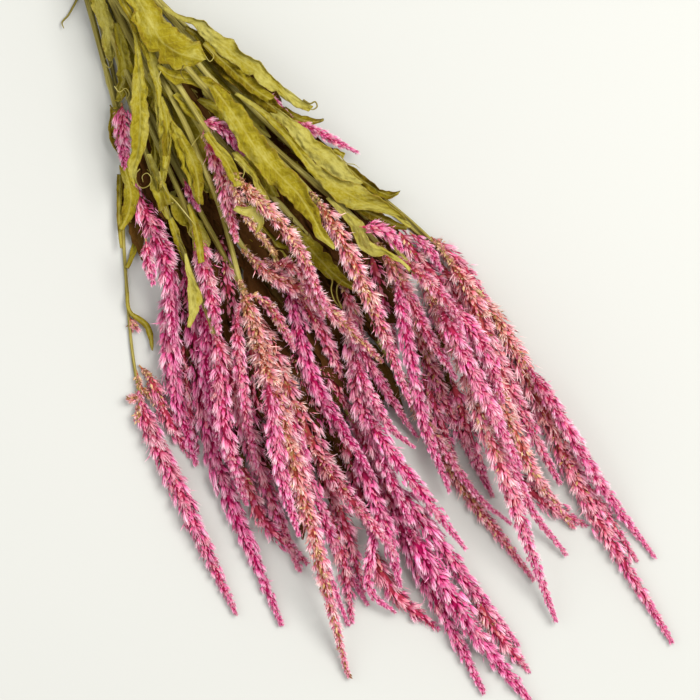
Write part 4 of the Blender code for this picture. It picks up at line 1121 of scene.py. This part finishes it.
def band(shape, stems, seed):
    """One rubber loop wound round the stems; its last turn crosses back over the others."""
    rng = np.random.default_rng(seed)
    per_turn = 96
    count = per_turn * BAND_TURNS
    crossing = 0.24
    closed = band_outline(stems, BAND_CLEARANCE + BAND_CORD / 2)
    closed = np.vstack([closed, closed[:1]])
    far = lengths(closed)
    outline = sample(np.linspace(0, far[-1], per_turn, endpoint=False), far, closed)
    away = np.tile(unit(outline - outline.mean(0)), (BAND_TURNS, 1))
    turn = np.arange(count) / per_turn
    back = smooth_step((turn - (BAND_TURNS - crossing)) / crossing)
    shift = sum(np.clip((turn - k) / crossing + 0.5, 0, 1) for k in range(1, BAND_TURNS)) * BAND_CORD
    shift -= (back + 0.5) * BAND_CORD * (BAND_TURNS - 1)
    over = np.sin(math.pi * back) ** 0.8 * BAND_CORD * 0.92
    centre = np.column_stack([shift + 0.12 * waves(rng, turn * 60, 60, 12),
                              np.tile(outline, (BAND_TURNS, 1)) + away * over[:, None]])
    forward = unit(np.roll(centre, -1, axis=0) - np.roll(centre, 1, axis=0))
    outward = square_to(np.column_stack([np.zeros(count), away]), forward)
    aside = np.cross(outward, forward)
    sides = 10
    angle = np.arange(sides) * 2 * math.pi / sides
    radius = BAND_CORD / 2 * 0.97 * (1 + 0.02 * waves(rng, turn * 60, 20, 5))
    points = centre[:, None] + radius[:, None, None] * (aside[:, None] * np.cos(angle)[None, :, None]
                                                        + outward[:, None] * np.sin(angle)[None, :, None])
    ring = np.arange(count * sides).reshape(count, sides)
    after, beside = np.roll(ring, -1, axis=0), np.roll(ring, -1, axis=1)
    both = np.roll(after, -1, axis=1)
    faces = np.vstack([np.column_stack([ring.ravel(), beside.ravel(), both.ravel()]),
                       np.column_stack([ring.ravel(), both.ravel(), after.ravel()])])
    points = points.reshape(-1, 3)
    look = np.zeros((len(points), 4))
    grain = np.column_stack([np.tile(angle, count), np.repeat(turn * 120, sides), np.zeros(len(points))])
    shape.add(points, outward_faces(points, faces), look, grain)


# --- Materials -----------------------------------------------------------------------------------

class Nodes:
    """A short way to write a material's nodes."""

    def __init__(self, name):
        self.material = bpy.data.materials.new(name)
        self.material.use_nodes = True
        self.tree = self.material.node_tree
        self.shader = self.tree.nodes["Principled BSDF"]

    def link(self, value, socket):
        if isinstance(value, bpy.types.NodeSocket):
            self.tree.links.new(value, socket)
        elif value is not None:
            socket.default_value = value

    def node(self, kind, *values, **inputs):
        """A new node. Its sockets are given in order or by name, as values or as other nodes' outputs."""
        node = self.tree.nodes.new("ShaderNode" + kind)
        for value, socket in zip(values, node.inputs):
            self.link(value, socket)
        for name, value in inputs.items():
            self.link(value, node.inputs[name])
        return node

    def parts(self):
        """The four numbers of a point's look: t, tone, age or reach, and kind or old."""
        look = self.node("Attribute")
        look.attribute_name = "look"
        split = self.node("SeparateColor", look.outputs["Color"])
        return (*split.outputs[:3], look.outputs["Alpha"])

    def grain(self):
        node = self.node("Attribute")
        node.attribute_name = "grain"
        return node.outputs["Vector"]

    def math(self, operation, a, b=None, clamp=False):
        node = self.node("Math", a, b)
        node.operation = operation
        node.use_clamp = clamp
        return node.outputs[0]

    def weigh(self, *terms):
        """The sum of the values, each times its weight."""
        total, *others = (self.math("MULTIPLY", value, weight) for value, weight in terms)
        for part in others:
            total = self.math("ADD", total, part)
        return total

    def remap(self, value, from_low, from_high, to_low=0.0, to_high=1.0):
        return self.node("MapRange", value, from_low, from_high, to_low, to_high).outputs[0]

    def ramp(self, value, *stops):
        node = self.node("ValToRGB", value)
        elements = node.color_ramp.elements
        while len(elements) < len(stops):
            elements.new(0.5)
        for element, (place, *colour) in zip(elements, stops):
            element.position = place
            element.color = (*colour, 1)
        return node.outputs[0]

    def mix(self, share, a, b, blend="MIX"):
        node = self.tree.nodes.new("ShaderNodeMix")
        node.data_type = "RGBA"
        node.blend_type = blend
        self.link(share, node.inputs[0])
        for value, socket in ((a, node.inputs[6]), (b, node.inputs[7])):
            self.link((*value, 1) if isinstance(value, tuple) else value, socket)
        return node.outputs[2]

    def noise(self, scale, detail=2.0, rough=0.55):
        """Noise over the grain coordinates, stretched along each shell by these scales."""
        stretched = self.node("Mapping", Vector=self.grain(), Scale=(*scale, 1.0)).outputs[0]
        speckle = self.node("TexNoise", Vector=stretched, Scale=1.0, Detail=detail, Roughness=rough)
        return speckle.outputs["Fac"]

    def finish(self, colour, gloss, rough, specular, height, strength, distance):
        """Links the colour, a roughness that follows gloss from rough[0] to rough[1], and a bump."""
        self.link(colour, self.shader.inputs["Base Color"])
        self.link(self.remap(gloss, 0.3, 0.7, *rough), self.shader.inputs["Roughness"])
        self.shader.inputs["Specular IOR Level"].default_value = specular
        bump = self.node("Bump", Strength=strength, Distance=distance, Height=height)
        self.link(bump.outputs[0], self.shader.inputs["Normal"])
        return self.material


def floret_material():
    m = Nodes("floret")
    t, tone, age, kind = m.parts()
    # the short scales inside, the core and the clusters along the top keep colours nearer a floret's darker
    # foot: painted shade
    t = m.math("MULTIPLY", t, m.remap(kind, 0.65, 0.8, 0.75, 1.0))
    # both ramps run from a dark foot to a pale tip: partly the florets' own colour, partly painted shade at
    # the foot where they crowd
    fresh = m.ramp(t, (0, 0.48, 0.010, 0.12), (0.25, 0.67, 0.088, 0.285), (0.55, 0.76, 0.24, 0.435),
                   (0.8, 0.81, 0.44, 0.59), (1, 0.87, 0.68, 0.76))
    old = m.ramp(t, (0, 0.48, 0.08, 0.03), (0.25, 0.69, 0.23, 0.18), (0.55, 0.83, 0.51, 0.44),
                 (0.8, 0.91, 0.73, 0.61), (1, 0.95, 0.92, 0.83))
    age = m.remap(age, 0.1, 1.0)
    colour = m.mix(age, fresh, old)
    # scales inside the spike, the core and the clusters along the top are painted darker, painted shade;
    # bracts are golden
    inside = m.mix(age, (0.34, 0.006, 0.07), (0.30, 0.09, 0.03))
    colour = m.mix(m.remap(kind, 0.3, 0.8, 0.9, 0.0), colour, inside)
    bract = m.ramp(tone, (0, 0.22, 0.09, 0.03), (0.5, 0.39, 0.22, 0.09), (1, 0.56, 0.38, 0.21))
    colour = m.mix(m.math("LESS_THAN", kind, 0.2), colour, bract)
    # each scale has its own shade, shifted by its spike's painted light, and fine streaks along it
    streak = m.noise((7.0, 0.5), 3.0)
    light = m.math("ADD", m.remap(tone, 0, 1, 0.80, 1.20), m.remap(streak, 0.3, 0.7, -0.16, 0.16))
    shade = m.node("CombineColor", light, light, light).outputs[0]
    colour = m.mix(1.0, colour, shade, "MULTIPLY")
    return m.finish(colour, streak, (0.62, 0.82), 0.03, streak, 0.5, 0.0002)


def leaf_material():
    m = Nodes("dried leaf")
    _, tone, reach, old = m.parts()
    across, along = m.node("SeparateXYZ", m.grain()).outputs[:2]
    across = m.math("ABSOLUTE", across)
    patches = m.noise((0.10, 0.05))
    mottle = m.noise((0.8, 0.35), 5.0, 0.65)
    shade = m.math("ADD", m.weigh((patches, 0.45), (mottle, 0.4)), m.remap(tone, 0, 1, -0.10, 0.22))
    colour = m.ramp(shade, (0.24, 0.055, 0.029, 0), (0.38, 0.155, 0.112, 0.004), (0.5, 0.259, 0.209, 0.011),
                    (0.68, 0.387, 0.345, 0.087))
    # side veins and the midrib are paler
    vein = m.math("SUBTRACT", along, m.math("MULTIPLY", across, VEIN_SLANT))
    vein = m.math("ABSOLUTE", m.math("SINE", m.math("MULTIPLY", vein, math.pi / VEIN_STEP)))
    veins = m.math("MULTIPLY", m.remap(vein, 0.0, 0.22, 1.0, 0.0), m.remap(reach, 0.75, 0.95, 0.5, 0.0))
    pale = m.math("MAXIMUM", veins, m.remap(across, 0.35, 0.75, 0.85, 0.0), clamp=True)
    colour = m.mix(m.math("MULTIPLY", pale, 0.5), colour, (0.39, 0.343, 0.087))
    # brown, brittle rims and specks; old paints a leaf dark brown all over, partly the brown of dead leaves
    # and partly painted shade for the low leaves in the gaps
    fleck = m.noise((0.9, 0.8), 5.0, 0.65)
    brown = m.math("MULTIPLY", m.remap(reach, 0.72, 1.0), m.remap(fleck, 0.45, 0.62, 0.0, 0.75))
    colour = m.mix(brown, colour, (0.191, 0.104, 0.024))
    colour = m.mix(m.math("MULTIPLY", old, 0.98), colour, (0.054, 0.018, 0.004))
    crease = m.math("ABSOLUTE", m.math("SUBTRACT", m.noise((0.9, 0.28), 3.0, 0.6), 0.5))
    height = m.weigh((vein, 0.5), (fleck, 0.6), (crease, 3.0))
    return m.finish(colour, mottle, (0.58, 0.82), 0.06, height, 0.7, 0.0007)


def stem_material():
    m = Nodes("dried stem")
    _, tone, _, kind = m.parts()
    streak = m.noise((1.3, 0.05), 4.0, 0.6)
    shade = m.weigh((streak, 0.7), (m.noise((0.2, 0.04)), 0.3))
    shade = m.math("ADD", shade, m.remap(tone, 0, 1, -0.08, 0.08))
    colour = m.ramp(shade, (0.32, 0.068, 0.044, 0.004), (0.45, 0.191, 0.155, 0.024),
                    (0.57, 0.315, 0.267, 0.063), (0.7, 0.43, 0.383, 0.144))
    # the cut end shows its pith
    colour = m.mix(m.remap(kind, 0.2, 0.8, 1.0, 0.0), colour, (0.574, 0.495, 0.319))
    return m.finish(colour, streak, (0.5, 0.75), 0.2, streak, 0.5, 0.0004)


def rubber_material():
    m = Nodes("rubber")
    dust = m.noise((0.8, 0.35), 4.0, 0.6)
    colour = m.ramp(dust, (0.3, 0.30, 0.17, 0.075), (0.5, 0.42, 0.26, 0.13), (0.72, 0.52, 0.36, 0.21))
    return m.finish(colour, dust, (0.42, 0.68), 0.4, dust, 0.35, 0.0003)


def floor_material():
    m = Nodes("floor")
    place = m.node("TexCoord").outputs["Object"]
    soft = m.node("TexNoise", Vector=place, Scale=2.0, Detail=1.0, Roughness=0.55).outputs["Fac"]
    m.link(m.ramp(soft, (0.3, 0.466, 0.471, 0.451), (0.7, 0.485, 0.49, 0.469)), m.shader.inputs["Base Color"])
    m.shader.inputs["Roughness"].default_value = 0.9
    m.shader.inputs["Specular IOR Level"].default_value = 0.1
    return m.material


FLORET, LEAF, STEM, RUBBER = floret_material(), leaf_material(), stem_material(), rubber_material()


# --- The bunch -----------------------------------------------------------------------------------

heads, leaves, sprigs, pile = lay_bunch()
stems = [line for line, _, _ in heads.values()]
band_low, band_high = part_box("rubber_band")
band_y = band_outline(stems, BAND_CLEARANCE + BAND_CORD)[:, 0]
SHIFT = np.array([(band_low[0] + band_high[0]) / 2,
                  (band_low[1] + band_high[1]) / 2 - (band_y.min() + band_y.max()) / 2 * MM, 0.0])


def place_gap_shade_leaves(seed):
    """The dark leaves that stand for shade among the stems, along the way that the bunch fans out: stem,
    width, height and points of each leaf.
    """
    rng = np.random.default_rng(seed)
    low_stems = list(heads)[:GAP_SHADE_STEMS]
    found = []
    while len(found) < GAP_SHADE_LEAVES:
        x = rng.uniform(*GAP_SHADE_START)
        y = rng.uniform(np.interp(x, GAP_SHADE_X, GAP_SHADE_LOW), np.interp(x, GAP_SHADE_X, GAP_SHADE_HIGH))
        way = y / (x + 25) + rng.normal(0, 0.12)
        length = rng.uniform(*GAP_SHADE_LENGTHS)
        mid = (x + length / 2, y + way * length / 2 + rng.normal(0, 4))
        end_x, end_y = x + length, y + way * length
        inside = np.interp(end_x, GAP_SHADE_X, GAP_SHADE_LOW) < end_y < np.interp(end_x, GAP_SHADE_X, GAP_SHADE_HIGH)
        if inside and end_x <= np.interp(end_y, *GAP_SHADE_END):
            nearest = min(low_stems, key=lambda name: np.hypot(*(heads[name][0].xy - (x, y)).T).min())
            width, height = rng.uniform(*GAP_SHADE_WIDTHS), rng.uniform(*GAP_SHADE_HEIGHTS)
            found.append((nearest, width, height, [(x, y), mid, (end_x, end_y)]))
    return found


def on_stem(rows, name):
    """The rows of a table that belong to this stem, each after its number in the table."""
    return [(k, *row[1:]) for k, row in enumerate(rows) if row[0] == name]


def plume(name, number):
    """A plume with its side spikes, the hidden spikes under it and the tufts on its stem."""
    shape = Shape()
    stem_line, line, sides = heads[name]
    ages, *side_ages = AGES[name]
    shade = PAINTED_LIGHT_SHIFTS.get(name, USUAL_PAINTED_LIGHT)
    spike(shape, line, 0.0, ages, PLUME_SEED + number, 1.0, BACKS.get(name, USUAL_BACK), shade)
    for k, (side, bare) in enumerate(sides):
        seed = SIDE_SEED + number * MOST_ON_A_STEM + k
        spike(shape, side, 0.3 * bare, side_ages[k], seed, 1.0, 0.0, shade)
    for k, half, *points in on_stem(EXTRA_SPIKES, name):
        xy, along = curve_through(points)
        radius = plume_radius(along, half)
        spike(shape, Line(xy, radius - PRESSED_FLAT, along, radius), 0.0, (0.5, 0.25), EXTRA_SEED + k, 0.6)
    for k, half, *points in on_stem(TUFTS, name):
        xy, along = curve_through(points, 1.0)
        z = np.full(len(xy), stem_line.z[nearest_point(stem_line.xy, points[0])])
        spike(shape, Line(xy, z, along, np.full(len(xy), half)), 0.0, (0.9, 0.6), TUFT_SEED + k)
    return shape


def leafy_stem(name, number):
    """A stem with its leaves, and the small leaves, threads and brown leaves next to it; the brown ones are
    painted dark, painted shade in the gaps.
    """
    shape = Shape()
    line = heads[name][0]
    reach = [float(np.interp(at.leaves_at, line.xy[:, 0], line.along)) for at in LEAVES if at.stem == name]
    stem(shape, line, STEM_SEED + number, reach, THIN_STEMS.get(name, 1.0))
    for k, blade in enumerate(leaves[name]):
        seed = LEAF_SEED + number * MOST_ON_A_STEM + k
        if (name, k) in TRACED:
            tone, *edges = TRACED[name, k]
            leaf(shape, *between_edges(*edges, blade[0]), seed, 1.2, 0.25, tone=tone)
        else:
            leaf(shape, *blade, seed, 1.2)
    for k, tone, height, *edges in on_stem(MORE_LEAVES, name):
        leaf(shape, *between_edges(*edges, pile, height), MORE_SEED + k, 1.3, 0.3, fine=0.8, tone=tone)
    for k, tone, radius, share, points in on_stem(THREADS, name):
        thread(shape, points, radius, share, tone, THREAD_SEED + k)
    # the low leaves and those among the stems are painted dark brown by old: painted shade in the gaps
    for k, width, *points in on_stem(UNDER_LEAVES, name):
        leaf(shape, *low_leaf(width, points, 4.0), UNDER_SEED + k, 1.0, 0.3, 0.92, 0.6)
    for k, width, height, points in on_stem(gap_shade_rows, name):
        leaf(shape, *low_leaf(width, points, height), GAP_SHADE_SEED + k, 1.2, 0.3, 1.0, 0.4)
    return shape


def finish_piece(shape, name, node, slot, *materials):
    piece = shape.object(name, materials)
    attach(piece, "root")
    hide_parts(node)


gap_shade_rows = place_gap_shade_leaves(31)
for number, name in enumerate(heads):
    finish_piece(plume(name, number), "plume_" + name, "head_" + name, "florets", FLORET)
    finish_piece(leafy_stem(name, number), "leafy_" + name, "leafy_stem_" + name, "foliage", STEM, LEAF)
for name, line in sprigs.items():
    shape = Shape()
    spike(shape, line, 0.0, (0.35, 0.1), SPRIG_SEED + int(name))
    finish_piece(shape, "small_spike_" + name, "side_spike_" + name, "florets", FLORET)
shape = Shape()
band(shape, stems, BAND_SEED)
finish_piece(shape, "wound_band", "rubber_band", "band", RUBBER)


# --- Floor, light and camera ---------------------------------------------------------------------

# The picture, in metres: its right-hand way on the floor, its middle there, its width and the camera's height
TURN = math.atan2(0.845, 0.534)
VIEW_CENTRE = Vector((0.2947 + SHIFT[0], 0.0030 + SHIFT[1], 0.0))
FRAME_WIDTH = 0.4105
DISTANCE = 3.0
SENSOR = 36.0
FLOOR_SIZE = 30.0
FLOOR_Z = -0.0002

scene = bpy.context.scene


def placed(name, data, location):
    obj = bpy.data.objects.new(name, data)
    scene.collection.objects.link(obj)
    obj.location = location
    return obj


def floor_mesh():
    mesh = bpy.data.meshes.new("floor")
    far = FLOOR_SIZE / 2
    corners = [(x, y, FLOOR_Z) for x, y in ((-far, -far), (far, -far), (far, far), (-far, far))]
    mesh.from_pydata(corners, [], [(0, 1, 2, 3)])
    mesh.materials.append(floor_material())
    return mesh


def lamp(name, right, up, height, size, power, colour):
    """A soft square lamp, placed by metres to the right of and above the picture's middle."""
    data = bpy.data.lights.new(name, "AREA")
    data.shape = "SQUARE"
    data.size = size
    data.energy = power
    data.color = colour
    x = VIEW_CENTRE.x + right * math.cos(TURN) - up * math.sin(TURN)
    y = VIEW_CENTRE.y + right * math.sin(TURN) + up * math.cos(TURN)
    obj = placed(name, data, (x, y, height))
    obj.rotation_euler = (VIEW_CENTRE - obj.location).to_track_quat("-Z", "Y").to_euler()


placed("floor", floor_mesh(), (0, 0, 0))
lamp("key", 0.95, 0.5, 2.0, 1.2, 64.0, (1.0, 0.985, 0.95))
lamp("fill", -1.4, 0.3, 1.5, 1.6, 10.0, (0.96, 0.98, 1.0))

scene.view_settings.view_transform = "Standard"
scene.view_settings.look = "None"
scene.world = bpy.data.worlds.new("studio")
scene.world.use_nodes = True
background = scene.world.node_tree.nodes["Background"]
background.inputs["Color"].default_value = (1.0, 0.985, 0.96, 1)
background.inputs["Strength"].default_value = 0.81

camera = bpy.data.cameras.new("camera")
camera.sensor_width = SENSOR
camera.lens = SENSOR * DISTANCE / FRAME_WIDTH
camera.clip_start, camera.clip_end = 0.1, 50.0
scene.camera = placed("camera", camera, (VIEW_CENTRE.x, VIEW_CENTRE.y, DISTANCE))
scene.camera.rotation_euler = (0, 0, TURN)
